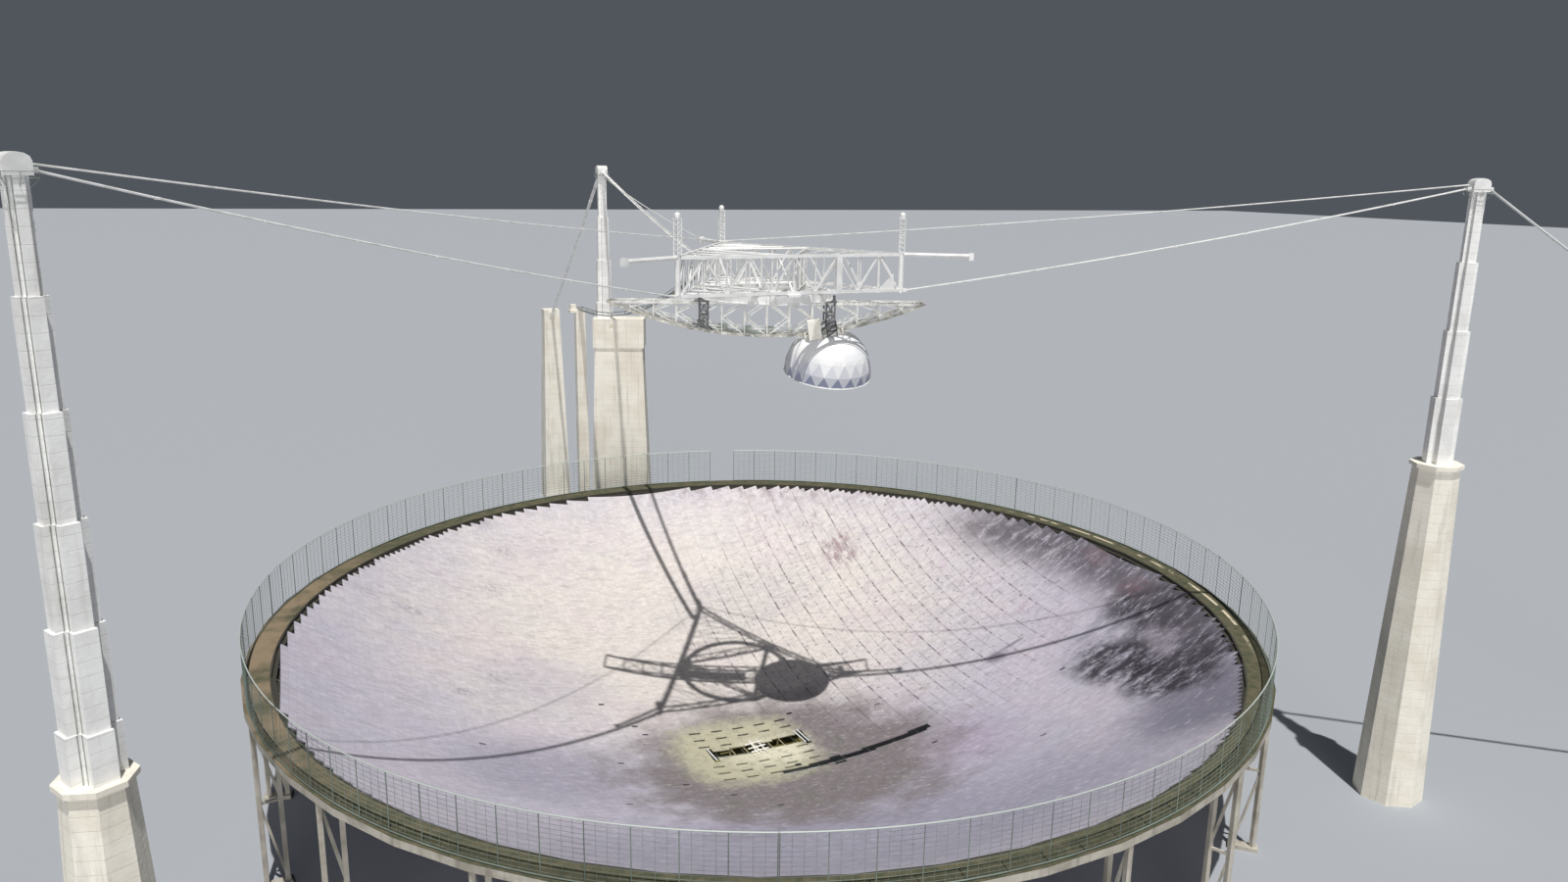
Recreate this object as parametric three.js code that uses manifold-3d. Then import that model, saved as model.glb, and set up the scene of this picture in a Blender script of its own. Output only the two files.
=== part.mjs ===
// A fixed spherical radio telescope dish with its fence, three stepped concrete towers, and the
// cable stayed platform that carries a bow shaped azimuth arm and a white dome.
// It is a 1:20 scale model. Sizes below are the real telescope's, in metres, times M.
// +Z is up, the origin is on the floor under the middle of the dish, and +Y points to the far tower.
import * as THREE from "three";
import { mergeVertices } from "three/addons/utils/BufferGeometryUtils.js";
import Module from "manifold-3d";

const wasm = await Module();
wasm.setup();

// Scale and levels: heights are measured from the plane of the dish's rim
const M = 50; // millimetres of model for one real metre
const FLOOR = -52 * M;
const GAP = 0.3; // between pieces that touch
const RUNNING_GAP = 0.16 * M; // beside and under moving pieces

// Reflector
const RIM_R = 152.4 * M;
const SPHERE_R = 265.2 * M;
const SPHERE_Z = Math.sqrt(SPHERE_R ** 2 - RIM_R ** 2); // the sphere's centre above the rim
const SHELL = 0.3 * M;
const CENTRE_R = 62 * M;
const CENTRE_RINGS = 3;
const SECTORS = 8;
const TURN_STEPS = 48; // flat facets in a full turn of the dish and its ring
const SLOT_CENTRE = { x: -4 * M, y: -7.7 * M, length: 31.6 * M, width: 5.6 * M, turn: 3.5 };
const SLOT_ENDS = { out: 16.5 * M, length: 2.6 * M, width: 10 * M }; // cross slots at both its ends
const SLOT_LONG = { x: 24.3 * M, y: -27.2 * M, length: 56 * M, width: 3.2 * M, turn: 3 };
const CENTRE_PAD = { x: -3 * M, y: -5.5 * M, long: 36 * M, wide: 15 * M, high: 0.6 * M };

// Ring beam, its legs and the fence
const RING = { inner: RIM_R + GAP, outer: 160.4 * M, deep: 2.2 * M, ledge: 1.2 * M, ledgeTop: -1.24 * M };
const RING_PARTS = 4;
const LEGS_PER_PART = 5;
const LEG = { inner: 153.8 * M, outer: 159.2 * M, post: 1.3 * M, brace: 0.7 * M };
const LEG_PAD = { wide: 3.2 * M, high: 1.2 * M };
const FENCE = { radius: 159.3 * M, high: 14.9 * M, post: 0.32 * M, rail: 0.3 * M, step: 11.2 };
const FENCE_SPANS = [
  [76.9, 163],
  [163, 249],
  [249, 335],
  [335, 384],
  [384, 433],
];

// Towers: the cross shaped shaft steps out every SECTION down from the top
const TOWER_R = 207.5 * M;
const TOWER_TOP = 140.5 * M;
const SECTION = 20.2 * M;
const SHAFT_WIDTHS = [3.9, 5.2, 6.4, 7.7, 9.0, 10.2].map((w) => w * M);
const CROSS_SHARE = 0.46; // a cross arm's thickness as a share of the shaft's width
const SADDLE = { wide: 4.6 * M, box: 2.4 * M, roof: 1.5 * M, main: 0.9 * M, steady: 2 * M };
const TOWERS = [
  { name: "far", angle: 90, base: 72.5 * M },
  { name: "left", angle: 210, base: 29.2 * M },
  { name: "right", angle: -30, base: 59.7 * M },
];
const PIER = { cap: 6.9 * M, capHigh: 1.2 * M, top: 6 * M, foot: 9.5 * M };
const FAR_BLOCK = { left: -5 * M, right: 19.5 * M, deep: 12 * M, high: 14 * M, turn: 22 };

// Backstays and their anchors
const ANCHOR = { radius: 335 * M, top: 62 * M, wide: 9 * M, footWide: 15 * M };

// Platform: an equilateral triangle of trusses
const CORNER_R = 42 * M;
const LOWER_CHORD = 107.6 * M;
const UPPER_CHORD = 118.6 * M;
const CHORD = 0.9 * M;
const BRACE = 0.5 * M;
const BAYS = 10;
const POST_R = 0.85 * M; // the corner post's twelve sides lie this far from its middle
const MAST = { wide: 1.6 * M, leg: 0.28 * M, top: 129.6 * M, ball: 1.0 * M };
const BOOM = { length: 21.5 * M, radius: 0.65 * M };
const LUG = 2.2 * M; // the steady cables' lugs reach this far from the far corner's middle
const BRIDGE_PIER = { x: -11.5 * M, y: TOWER_R + 3 * M, top: 76.4 * M, wide: 4.4 * M, foot: 5.4 * M };
const LANDING = { along: 6 * M, out: 2.6 * M, long: 3 * M, z: 112 * M };
const TRACK = { radius: 20 * M, half: 0.6 * M, bottom: 103.9 * M, top: 106.6 * M };
const TRACK_LIP = { out: 1.1 * M, high: 0.4 * M }; // its flanges

// Azimuth arm: two bow trusses side by side
const ARM_TURN = -20; // its angle at rest, in degrees from +X
const ARM = { half: 50 * M, rail: 125 * M, top: 103 * M, side: 3.8 * M, chord: 0.7 * M, brace: 0.42 * M };
const ARM_BAYS = 14;
const RAIL_STEPS = 24;
const FLANGE = { out: 0.55 * M, thick: 0.2 * M };
const HANGER = { wide: 3.2 * M, post: 0.5 * M, brace: 0.3 * M, foot: 95.3 * M };

// Dome and its carriage, which roll on the arm's two curved rails
const DOME = { radius: 14.1 * M, wall: 0.3 * M, drop: 12.4 * M, zenith: 8.3, cutTop: 11.4 * M };
// The plane that cuts the ball off lies this far under its middle and leans
const DOME_FOOT = { below: 1.4 * M, turn: 13, lean: 11 };
const CARRIAGE = { half: 6 * M, beam: 0.6 * M, wheel: 0.35 * M };
const HOUSE = { long: 4 * M, wide: 3.2 * M, high: 6 * M, x: -3 * M };

function paint(color, roughness, metalness) {
  return new THREE.MeshStandardMaterial({ color, roughness, metalness });
}
const MATERIALS = {
  panels: paint(0xc9c4cc, 0.55, 0.4),
  concrete: paint(0xcfc8bb, 0.9, 0),
  galvanised: paint(0x9ba69c, 0.6, 0.6),
  white: paint(0xe4e2da, 0.5, 0.2),
  cable: paint(0xd8d8d2, 0.5, 0.4),
  dome: paint(0xf2f1ec, 0.4, 0),
};

const model = new THREE.Group();

// Small tools: a closed geometry becomes a solid, and solids become a named mesh

function solid(geometry) {
  const bare = geometry.index ? geometry.toNonIndexed() : geometry;
  bare.deleteAttribute("normal");
  bare.deleteAttribute("uv");
  const merged = mergeVertices(bare, 1e-3);
  const vertProperties = merged.attributes.position.array;
  const triVerts = new Uint32Array(merged.index.array);
  return new wasm.Manifold(new wasm.Mesh({ numProp: 3, vertProperties, triVerts }));
}

function joined(solids) {
  return solids.reduce((all, one) => all.add(one));
}

function addPiece(name, shape, material) {
  const { vertProperties, triVerts } = shape.getMesh();
  const geometry = new THREE.BufferGeometry();
  geometry.setAttribute("position", new THREE.BufferAttribute(vertProperties, 3));
  geometry.setIndex(new THREE.BufferAttribute(triVerts, 1));
  const mesh = new THREE.Mesh(geometry, MATERIALS[material]);
  mesh.name = name;
  model.add(mesh);
}

const radians = THREE.MathUtils.degToRad;
const point = (x, y, z) => new THREE.Vector3(x, y, z);
function polar(degrees, radius, z) {
  return point(radius * Math.cos(radians(degrees)), radius * Math.sin(radians(degrees)), z);
}

// A straight bar of rectangular section from a to b, its height upright
function bar(a, b, wide, high = wide) {
  const along = b.clone().sub(a);
  const geometry = new THREE.BoxGeometry(along.length(), wide, high);
  const x = along.normalize();
  const upright = Math.abs(x.z) > 0.99 ? point(-x.z, 0, x.x) : point(0, 0, 1);
  const y = upright.clone().cross(x).normalize();
  const turn = new THREE.Matrix4().makeBasis(x, y, x.clone().cross(y));
  turn.setPosition(a.clone().add(b).multiplyScalar(0.5));
  return solid(geometry.applyMatrix4(turn));
}

// An upright block between two levels, turned about +Z
function block(x, y, low, high, long, wide, degrees = 0) {
  const geometry = new THREE.BoxGeometry(long, wide, high - low);
  geometry.rotateZ(radians(degrees)).translate(x, y, (low + high) / 2);
  return solid(geometry);
}

// A closed profile of [radius, z] pairs turned about the Z axis
function revolved(profile, steps) {
  const outline = profile.map(([r, z]) => new THREE.Vector2(r, z));
  if (THREE.ShapeUtils.area(outline) < 0) outline.reverse();
  outline.push(outline[0].clone());
  return solid(new THREE.LatheGeometry(outline, steps).rotateX(Math.PI / 2));
}

// A tapering upright prism with flat sides facing the given angle
function frustum(centre, low, high, footRadius, topRadius, sides, degrees) {
  const corner = 1 / Math.cos(Math.PI / sides);
  const geometry = new THREE.CylinderGeometry(topRadius * corner, footRadius * corner, high - low, sides);
  geometry.rotateX(Math.PI / 2).rotateZ(radians(degrees) + Math.PI / sides - Math.PI / 2);
  return solid(geometry.translate(centre.x, centre.y, (low + high) / 2));
}

// A pie slice of full height between two angles, half a gap short at each side
function wedge(from, to, radius) {
  const half = radians(to - from) / 2;
  const apex = polar((from + to) / 2, GAP / 2 / Math.sin(half), 0);
  const reach = radius / Math.cos(half);
  const corners = [apex, apex.clone().add(polar(from, reach, 0)), apex.clone().add(polar(to, reach, 0))];
  const shape = new THREE.Shape(corners.map((c) => new THREE.Vector2(c.x, c.y)));
  const depth = 2 * SPHERE_R;
  return solid(new THREE.ExtrudeGeometry(shape, { depth, bevelEnabled: false }).translate(0, 0, -SPHERE_R));
}

// A round bar along points, with flat sides, as one extrusion
function tube(points, radius, sides = 6) {
  const section = new THREE.Shape();
  for (let i = 0; i < sides; i++) {
    const turn = (2 * Math.PI * i) / sides;
    const [x, y] = [radius * Math.cos(turn), radius * Math.sin(turn)];
    if (i === 0) section.moveTo(x, y);
    else section.lineTo(x, y);
  }
  section.closePath();
  const extrudePath = new THREE.CatmullRomCurve3(points);
  const steps = points.length - 1;
  return solid(new THREE.ExtrudeGeometry(section, { steps, extrudePath, bevelEnabled: false }));
}

// Points of a cable from a to b that sags below the straight line
function sagging(a, b, sag, steps) {
  const points = [];
  for (let i = 0; i <= steps; i++) {
    const t = i / steps;
    const p = a.clone().lerp(b, t);
    p.z -= 4 * sag * t * (1 - t);
    points.push(p);
  }
  return points;
}

// Height of the reflector's face at a radius
const face = (r) => SPHERE_Z - Math.sqrt(SPHERE_R ** 2 - r ** 2);

function faceProfile(from, to, steps) {
  const top = [];
  const under = [];
  for (let i = 0; i <= steps; i++) {
    const r = from + ((to - from) * i) / steps;
    top.push([r, face(r)]);
    under.unshift([r, face(r) - SHELL * Math.hypot(1, r / (SPHERE_Z - face(r)))]);
  }
  return [...top, ...under];
}

// A place measured along and across the slot in the middle
function inSlot(along, aside, z) {
  const { x, y, turn } = SLOT_CENTRE;
  return polar(turn, along, z).add(polar(turn + 90, aside, 0)).add(point(x, y, 0));
}

function slotCutter({ x, y, length, width, turn }) {
  return block(x, y, face(0) - 4 * SHELL, face(CENTRE_R) + SHELL, length, width, turn);
}

function addReflector() {
  const bowl = new THREE.LatheGeometry(centreOutline(CENTRE_RINGS), TURN_STEPS);
  let centre = solid(bowl.rotateX(Math.PI / 2));
  const crossings = [-1, 1].map((way) => {
    const end = inSlot(way * SLOT_ENDS.out, 0, 0);
    return { ...SLOT_ENDS, x: end.x, y: end.y, turn: SLOT_CENTRE.turn };
  });
  const slots = [SLOT_CENTRE, ...crossings, SLOT_LONG];
  for (const slot of slots) centre = centre.subtract(slotCutter(slot));
  addPiece("reflector_centre", centre, "panels");
  const shell = revolved(faceProfile(CENTRE_R, RIM_R, 6), TURN_STEPS);
  for (let i = 0; i < SECTORS; i++) {
    const from = (360 / SECTORS) * i;
    const sector = shell.intersect(wedge(from, from + 360 / SECTORS, RIM_R * 1.1));
    addPiece(`reflector_sector_${i + 1}`, sector, "panels");
  }
}

// The middle piece's outline starts and ends on the axis
function centreOutline(steps) {
  const profile = faceProfile(0, CENTRE_R - GAP, steps);
  return profile.reverse().map(([r, z]) => new THREE.Vector2(r, z));
}

function leg(degrees) {
  const inner = (z) => polar(degrees, LEG.inner, z);
  const outer = (z) => polar(degrees, LEG.outer, z);
  const top = -RING.deep / 2;
  const middle = FLOOR / 2;
  const foot = FLOOR + LEG_PAD.high / 2;
  const centre = polar(degrees, (LEG.inner + LEG.outer) / 2, 0);
  const long = LEG.outer - LEG.inner + LEG_PAD.wide;
  return joined([
    bar(inner(foot), inner(top), LEG.post),
    bar(outer(foot), outer(top), LEG.post),
    bar(inner(middle), outer(middle), LEG.brace),
    bar(inner(middle), outer(-RING.deep), LEG.brace),
    bar(outer(middle), inner(foot + LEG_PAD.high), LEG.brace),
    block(centre.x, centre.y, FLOOR, FLOOR + LEG_PAD.high, long, LEG_PAD.wide, degrees),
  ]);
}

function addRimFrame() {
  const bottom = -RING.deep;
  const ledge = RING.inner - RING.ledge;
  const ring = revolved(
    [
      [ledge, bottom],
      [RING.outer, bottom],
      [RING.outer, 0],
      [RING.inner, 0],
      [RING.inner, RING.ledgeTop],
      [ledge, RING.ledgeTop],
    ],
    TURN_STEPS,
  );
  const span = 360 / RING_PARTS;
  for (let i = 0; i < RING_PARTS; i++) {
    const pieces = [ring.intersect(wedge(span * i, span * (i + 1), RING.outer * 1.1))];
    for (let k = 0; k < LEGS_PER_PART; k++) pieces.push(leg(span * (i + (k + 0.5) / LEGS_PER_PART)));
    addPiece(`rim_frame_${i + 1}`, joined(pieces), "concrete");
  }
}

function addFence() {
  FENCE_SPANS.forEach(([from, to], i) => {
    const inset = THREE.MathUtils.radToDeg((FENCE.post / 2 + GAP) / FENCE.radius);
    const bays = Math.round((to - from) / FENCE.step);
    const angleOf = (k) => from + inset + ((to - from - 2 * inset) * k) / bays;
    const pieces = [];
    for (let k = 0; k <= bays; k++) {
      const p = polar(angleOf(k), FENCE.radius, 0);
      pieces.push(block(p.x, p.y, GAP, FENCE.high, FENCE.post, FENCE.post, angleOf(k)));
      if (k === bays) continue;
      for (const z of [FENCE.rail, FENCE.high - FENCE.rail / 2]) {
        const rail = [polar(angleOf(k), FENCE.radius, z), polar(angleOf(k + 1), FENCE.radius, z)];
        pieces.push(bar(...rail, FENCE.rail * 0.8, FENCE.rail));
      }
    }
    addPiece(`fence_${i + 1}`, joined(pieces), "galvanised");
  });
}

function crossPrism(centre, low, high, wide, degrees) {
  const thick = wide * CROSS_SHARE;
  return joined([
    block(centre.x, centre.y, low, high, wide, thick, degrees),
    block(centre.x, centre.y, low, high, thick, wide, degrees),
  ]);
}

function addTower({ name, angle, base }) {
  const centre = polar(angle, TOWER_R, 0);
  const steps = [];
  for (let i = 0, top = TOWER_TOP; top > base + 1; i++, top -= SECTION) {
    const low = Math.max(base, top - SECTION);
    steps.push(crossPrism(centre, low, top, SHAFT_WIDTHS[i], angle));
  }
  addPiece(`${name}_tower_shaft`, joined(steps), "concrete");
  addSaddle(name, angle, centre);
}

// The housing over a tower's cable saddle: a box with a rounded roof
function addSaddle(name, angle, centre) {
  const low = TOWER_TOP + GAP;
  const roof = new THREE.CylinderGeometry(SADDLE.wide / 2, SADDLE.wide / 2, SADDLE.wide, 12);
  roof.scale(1, 1, SADDLE.roof / (SADDLE.wide / 2)).rotateZ(radians(angle));
  roof.translate(centre.x, centre.y, low + SADDLE.box);
  const over = block(centre.x, centre.y, low + SADDLE.box, TOWER_TOP + 10 * M, 12 * M, 12 * M);
  const box = block(centre.x, centre.y, low, low + SADDLE.box, SADDLE.wide, SADDLE.wide, angle);
  addPiece(`${name}_tower_saddle`, box.add(solid(roof).intersect(over)), "white");
}

function addPier({ name, angle, base }) {
  const centre = polar(angle, TOWER_R, 0);
  const top = base - GAP;
  const capLow = top - PIER.capHigh;
  const cap = frustum(centre, capLow, top, PIER.cap, PIER.cap, 8, angle);
  const shaft = frustum(centre, FLOOR, capLow + PIER.capHigh / 2, PIER.foot, PIER.top, 8, angle);
  addPiece(`${name}_tower_pier`, cap.add(shaft), "concrete");
}

// The far tower stands at one end of a big block with two recesses, on a tapering pier
function addFarPier({ name, base }) {
  const top = base - GAP;
  const middle = (FAR_BLOCK.left + FAR_BLOCK.right) / 2;
  const long = FAR_BLOCK.right - FAR_BLOCK.left;
  const place = (geometry, x) => {
    const turned = geometry.translate(x, 0, 0).rotateZ(radians(-FAR_BLOCK.turn));
    return solid(turned.translate(0, TOWER_R, 0));
  };
  const low = top - FAR_BLOCK.high;
  const box = new THREE.BoxGeometry(long, FAR_BLOCK.deep, FAR_BLOCK.high);
  const body = place(box.translate(0, 0, (low + top) / 2), middle);
  const taper = new THREE.CylinderGeometry(0.5 * Math.SQRT2, 0.66 * Math.SQRT2, 1, 4);
  taper.rotateX(Math.PI / 2).rotateZ(Math.PI / 4);
  taper.scale(long * 0.94, FAR_BLOCK.deep * 0.9, low + 1 - FLOOR);
  const shaft = place(taper.translate(0, 0, (low + 1 + FLOOR) / 2), middle);
  const recess = (x, z, wide, high) =>
    place(new THREE.BoxGeometry(wide, 1.6 * M, high).translate(0, -FAR_BLOCK.deep / 2, top - z), x);
  const upper = recess(4.4 * M, 3.4 * M, 2.2 * M, 1.8 * M);
  const lower = recess(6.2 * M, 7.8 * M, 1.3 * M, 1.8 * M);
  addPiece(`${name}_tower_pier`, body.add(shaft).subtract(upper).subtract(lower), "concrete");
}

// Four cables side by side between two end blocks, with clamps that keep them together
function addMainCables({ name, angle }) {
  const start = TOWER_R - SADDLE.wide / 2 - GAP;
  const end = CORNER_R + POST_R + GAP;
  const startZ = TOWER_TOP + SADDLE.main;
  const block1 = 1.2 * M;
  const a = polar(angle, start - block1 / 2, startZ);
  const b = polar(angle, end + block1 / 2, LOWER_CHORD);
  const aside = polar(angle + 90, 1, 0);
  const pieces = [];
  for (const side of [-0.9, -0.3, 0.3, 0.9]) {
    const shift = aside.clone().multiplyScalar(side * M);
    pieces.push(tube(sagging(a.clone().add(shift), b.clone().add(shift), 1.5 * M, 4), 0.15 * M, 5));
  }
  for (const { x, y, z } of [a, b]) {
    pieces.push(block(x, y, z - 0.5 * M, z + 0.5 * M, block1, 2.6 * M, angle));
  }
  const clamp = sagging(a, b, 1.5 * M, 4)[2];
  const clampEnds = [-1.25 * M, 1.25 * M].map((side) => clamp.clone().addScaledVector(aside, side));
  pieces.push(bar(...clampEnds, 0.5 * M, 0.42 * M));
  addPiece(`${name}_main_cables`, joined(pieces), "cable");
}

function addBackstays({ name, angle }) {
  const startZ = TOWER_TOP + SADDLE.main;
  const a = polar(angle, TOWER_R + SADDLE.wide / 2 + GAP + 0.6 * M, startZ);
  const b = polar(angle, ANCHOR.radius - ANCHOR.wide / 2 - GAP - 0.6 * M, ANCHOR.top - 1.6 * M);
  const aside = polar(angle + 90, 1, 0);
  const pieces = [];
  for (const side of [-1, -0.33, 0.33, 1]) {
    const shift = aside.clone().multiplyScalar(side * M);
    pieces.push(tube(sagging(a.clone().add(shift), b.clone().add(shift), 1 * M, 3), 0.15 * M, 5));
  }
  for (const { x, y, z } of [a, b]) {
    pieces.push(block(x, y, z - 0.5 * M, z + 0.5 * M, 1.2 * M, 2.8 * M, angle));
  }
  addPiece(`${name}_backstays`, joined(pieces), "cable");
  const centre = polar(angle, ANCHOR.radius, 0);
  const { top, wide, footWide } = ANCHOR;
  const anchor = frustum(centre, FLOOR, top - 4 * M, footWide / 2, wide / 2, 4, angle);
  const head = block(centre.x, centre.y, top - 4.5 * M, top, wide, wide, angle);
  addPiece(`${name}_anchor`, anchor.add(head), "concrete");
}

// One side of the triangular platform, between two corner posts
function addPlatformSide(number, fromAngle) {
  const a = polar(fromAngle, CORNER_R, 0);
  const b = polar(fromAngle + 120, CORNER_R, 0);
  const along = b.clone().sub(a).normalize();
  const inset = POST_R + GAP;
  const length = a.distanceTo(b) - 2 * inset;
  const at = (t, z) => a.clone().addScaledVector(along, inset + length * t).setZ(z);
  const pieces = [LOWER_CHORD, UPPER_CHORD].map((z) => bar(at(0, z), at(1, z), CHORD));
  for (let i = 0; i < BAYS; i++) {
    const [low, high] = i % 2 ? [i + 1, i] : [i, i + 1];
    pieces.push(bar(at(low / BAYS, LOWER_CHORD), at(high / BAYS, UPPER_CHORD), BRACE));
    if (i > 0) pieces.push(bar(at(i / BAYS, LOWER_CHORD), at(i / BAYS, UPPER_CHORD), BRACE * 0.8));
  }
  const middle = (LOWER_CHORD + UPPER_CHORD) / 2;
  const between = bar(at(0, middle), at(1, middle), 2 * CHORD, 2 * (UPPER_CHORD - LOWER_CHORD));
  addPiece(`platform_side_${number}`, joined(pieces).intersect(between), "white");
}

// A corner post with its lattice mast above and its boom pointing outwards
function addCorner({ name, angle }) {
  const centre = polar(angle, CORNER_R, 0);
  const low = LOWER_CHORD - 0.8 * M;
  const high = UPPER_CHORD + 0.8 * M;
  const pieces = [frustum(centre, low, high, POST_R, POST_R, 12, angle)];
  const half = MAST.wide / 2;
  const corner = (i, z) => centre.clone().add(polar(angle + 45 + 90 * i, half * Math.SQRT2, 0)).setZ(z);
  for (const z of [high, MAST.top]) {
    const wide = MAST.wide + MAST.leg;
    pieces.push(block(centre.x, centre.y, z - 0.2 * M, z + 0.2 * M, wide, wide, angle));
  }
  for (let i = 0; i < 4; i++) {
    pieces.push(bar(corner(i, high), corner(i, MAST.top), MAST.leg));
    const z = (high + MAST.top) / 2;
    pieces.push(bar(corner(i, z), corner(i + 1, z), MAST.leg * 0.8));
  }
  const ball = new THREE.SphereGeometry(MAST.ball, 8, 5).rotateX(Math.PI / 2);
  pieces.push(solid(ball.translate(centre.x, centre.y, MAST.top + MAST.ball * 0.9)));
  if (name === "far") {
    for (const tower of TOWERS.slice(1)) {
      const lug = centre.clone().setZ(high);
      pieces.push(bar(lug, lug.clone().addScaledVector(steadyWay(tower.angle), LUG), 0.4 * M));
    }
  }
  const tip = CORNER_R + BOOM.length;
  const boom = [CORNER_R, tip].map((r) => polar(angle, r, UPPER_CHORD));
  pieces.push(tube(boom, BOOM.radius, 8));
  const end = polar(angle, tip, 0);
  pieces.push(block(end.x, end.y, UPPER_CHORD - 1.3 * M, UPPER_CHORD + 0.9 * M, 1.4 * M, 1.9 * M, angle));
  addPiece(`${name}_corner_mast`, joined(pieces), "white");
}

// The circular track under the platform, with pads up to the three sides and beams across
function addTrack() {
  const { radius, half, bottom, top } = TRACK;
  const flange = TRACK_LIP.out;
  const lip = bottom + TRACK_LIP.high;
  const ring = revolved(
    [
      [radius - flange, bottom],
      [radius + flange, bottom],
      [radius + flange, lip],
      [radius + half, lip],
      [radius + half, top],
      [radius - half, top],
      [radius - half, lip],
      [radius - flange, lip],
    ],
    36,
  );
  const pieces = [ring];
  const padTop = LOWER_CHORD - CHORD / 2 - GAP;
  TOWERS.forEach(({ angle }) => {
    const pad = polar(angle + 180, CORNER_R / 2, 0);
    pieces.push(block(pad.x, pad.y, top - 0.2 * M, padTop, 2.6 * M, 4 * M, angle));
    const [a, b] = [180, 300].map((way) => polar(angle + way, radius, top - 0.5 * M));
    pieces.push(bar(a, b, 0.8 * M, 0.7 * M));
  });
  addPiece("ring_track", joined(pieces), "white");
}

// Everything on the arm is laid out along +X and then turned to the arm's angle
function turnedArm(shape) {
  return shape.rotate([0, 0, ARM_TURN]);
}

const railZ = (x) => SPHERE_Z - Math.sqrt(ARM.rail ** 2 - x ** 2);

// A band along the rail's arc, drawn in the XZ plane and given a width in Y
function arcBand(outer, inner, from, to) {
  const end = Math.asin(ARM.half / ARM.rail);
  const shape = new THREE.Shape();
  const rim = (radius, turn) => [radius * Math.sin(turn), SPHERE_Z - radius * Math.cos(turn)];
  shape.moveTo(...rim(outer, -end));
  for (let i = 1; i <= RAIL_STEPS; i++) shape.lineTo(...rim(outer, -end + (2 * end * i) / RAIL_STEPS));
  for (let i = RAIL_STEPS; i >= 0; i--) shape.lineTo(...rim(inner, -end + (2 * end * i) / RAIL_STEPS));
  shape.closePath();
  const geometry = new THREE.ExtrudeGeometry(shape, { depth: to - from, bevelEnabled: false });
  return solid(geometry.rotateX(Math.PI / 2).translate(0, to, 0));
}

function addArm() {
  const pieces = [];
  const high = ARM.top - ARM.chord / 2;
  const x = (i) => ARM.half * (-1 + (2 * i) / ARM_BAYS);
  for (const side of [-1, 1]) {
    const y = side * ARM.side;
    const half = ARM.chord / 2;
    pieces.push(arcBand(ARM.rail, ARM.rail - ARM.chord, y - half, y + half));
    const out = [y + side * (half - 1), y + side * (half + FLANGE.out)];
    pieces.push(arcBand(ARM.rail, ARM.rail - FLANGE.thick, Math.min(...out), Math.max(...out)));
    pieces.push(bar(point(-ARM.half, y, high), point(ARM.half, y, high), ARM.chord));
    const low = (i) => point(x(i), y, railZ(x(i)) + half);
    const up = (i) => point(x(i), y, high);
    for (let i = 1; i < ARM_BAYS; i++) {
      pieces.push(bar(low(i), up(i), ARM.brace));
      if (i === ARM_BAYS / 2) continue;
      // From the post's middle, two braces spread to both chords at the next post inwards
      const inwards = i < ARM_BAYS / 2 ? i + 1 : i - 1;
      const middle = low(i).lerp(up(i), 0.5);
      for (const end of [low(inwards), up(inwards)]) pieces.push(bar(middle, end, ARM.brace * 0.9));
    }
  }
  for (let i = 0; i <= ARM_BAYS; i++) {
    const tie = Math.abs(x(i)) === ARM.half ? ARM.chord : ARM.brace;
    pieces.push(bar(point(x(i), -ARM.side, high), point(x(i), ARM.side, high), tie));
  }
  addPiece("azimuth_arm", turnedArm(joined(pieces)), "white");
}

// A frame that hangs the arm from the circular track: a saddle beam, two lattice legs, and
// claws with rollers
function addHanger(number, side) {
  const x = side * TRACK.radius;
  const beamLow = ARM.top + GAP;
  const beamHigh = TRACK.bottom - RUNNING_GAP;
  const { wide, post, brace, foot } = HANGER;
  const legY = ARM.side + ARM.chord / 2 + GAP + post / 2;
  const long = 2 * TRACK_LIP.out + 2 * RUNNING_GAP + 1.2 * M;
  const pieces = [block(x, 0, beamLow, beamHigh, long, 2 * legY + post)];
  const half = (wide - post) / 2;
  for (const y of [-legY, legY]) {
    for (const way of [-half, half]) pieces.push(block(x + way, y, foot, beamHigh, post, post));
    for (const z of [foot + post / 2, (foot + beamLow) / 2]) {
      pieces.push(bar(point(x - half, y, z), point(x + half, y, z), post * 0.8));
      const top = z + (beamLow - foot) / 2;
      pieces.push(bar(point(x - half, y, z), point(x + half, y, top), brace));
      pieces.push(bar(point(x + half, y, z), point(x - half, y, top), brace));
    }
  }
  const claw = TRACK_LIP.out + RUNNING_GAP + 0.3 * M;
  const rollerR = 0.3 * M;
  const rollerZ = TRACK.bottom + TRACK_LIP.high + GAP + rollerR;
  for (const way of [-1, 1]) {
    const clawX = x + way * claw;
    pieces.push(block(clawX, 0, beamLow, rollerZ + rollerR, 0.5 * M, 3 * M));
    for (const y of [-1.1 * M, 1.1 * M]) {
      const reach = 0.62 * M;
      const roller = new THREE.CylinderGeometry(rollerR, rollerR, reach, 12).rotateZ(Math.PI / 2);
      pieces.push(solid(roller.translate(clawX - (way * reach) / 2, y, rollerZ)));
    }
  }
  addPiece(`arm_hanger_${number}`, turnedArm(joined(pieces)), "galvanised");
}

// The dome and carriage are made level under the sphere's centre, then swung along the rail
function swung(shape) {
  const turned = shape.translate([0, 0, -SPHERE_Z]).rotate([0, -DOME.zenith, 0]);
  return turnedArm(turned.translate([0, 0, SPHERE_Z]));
}

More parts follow.
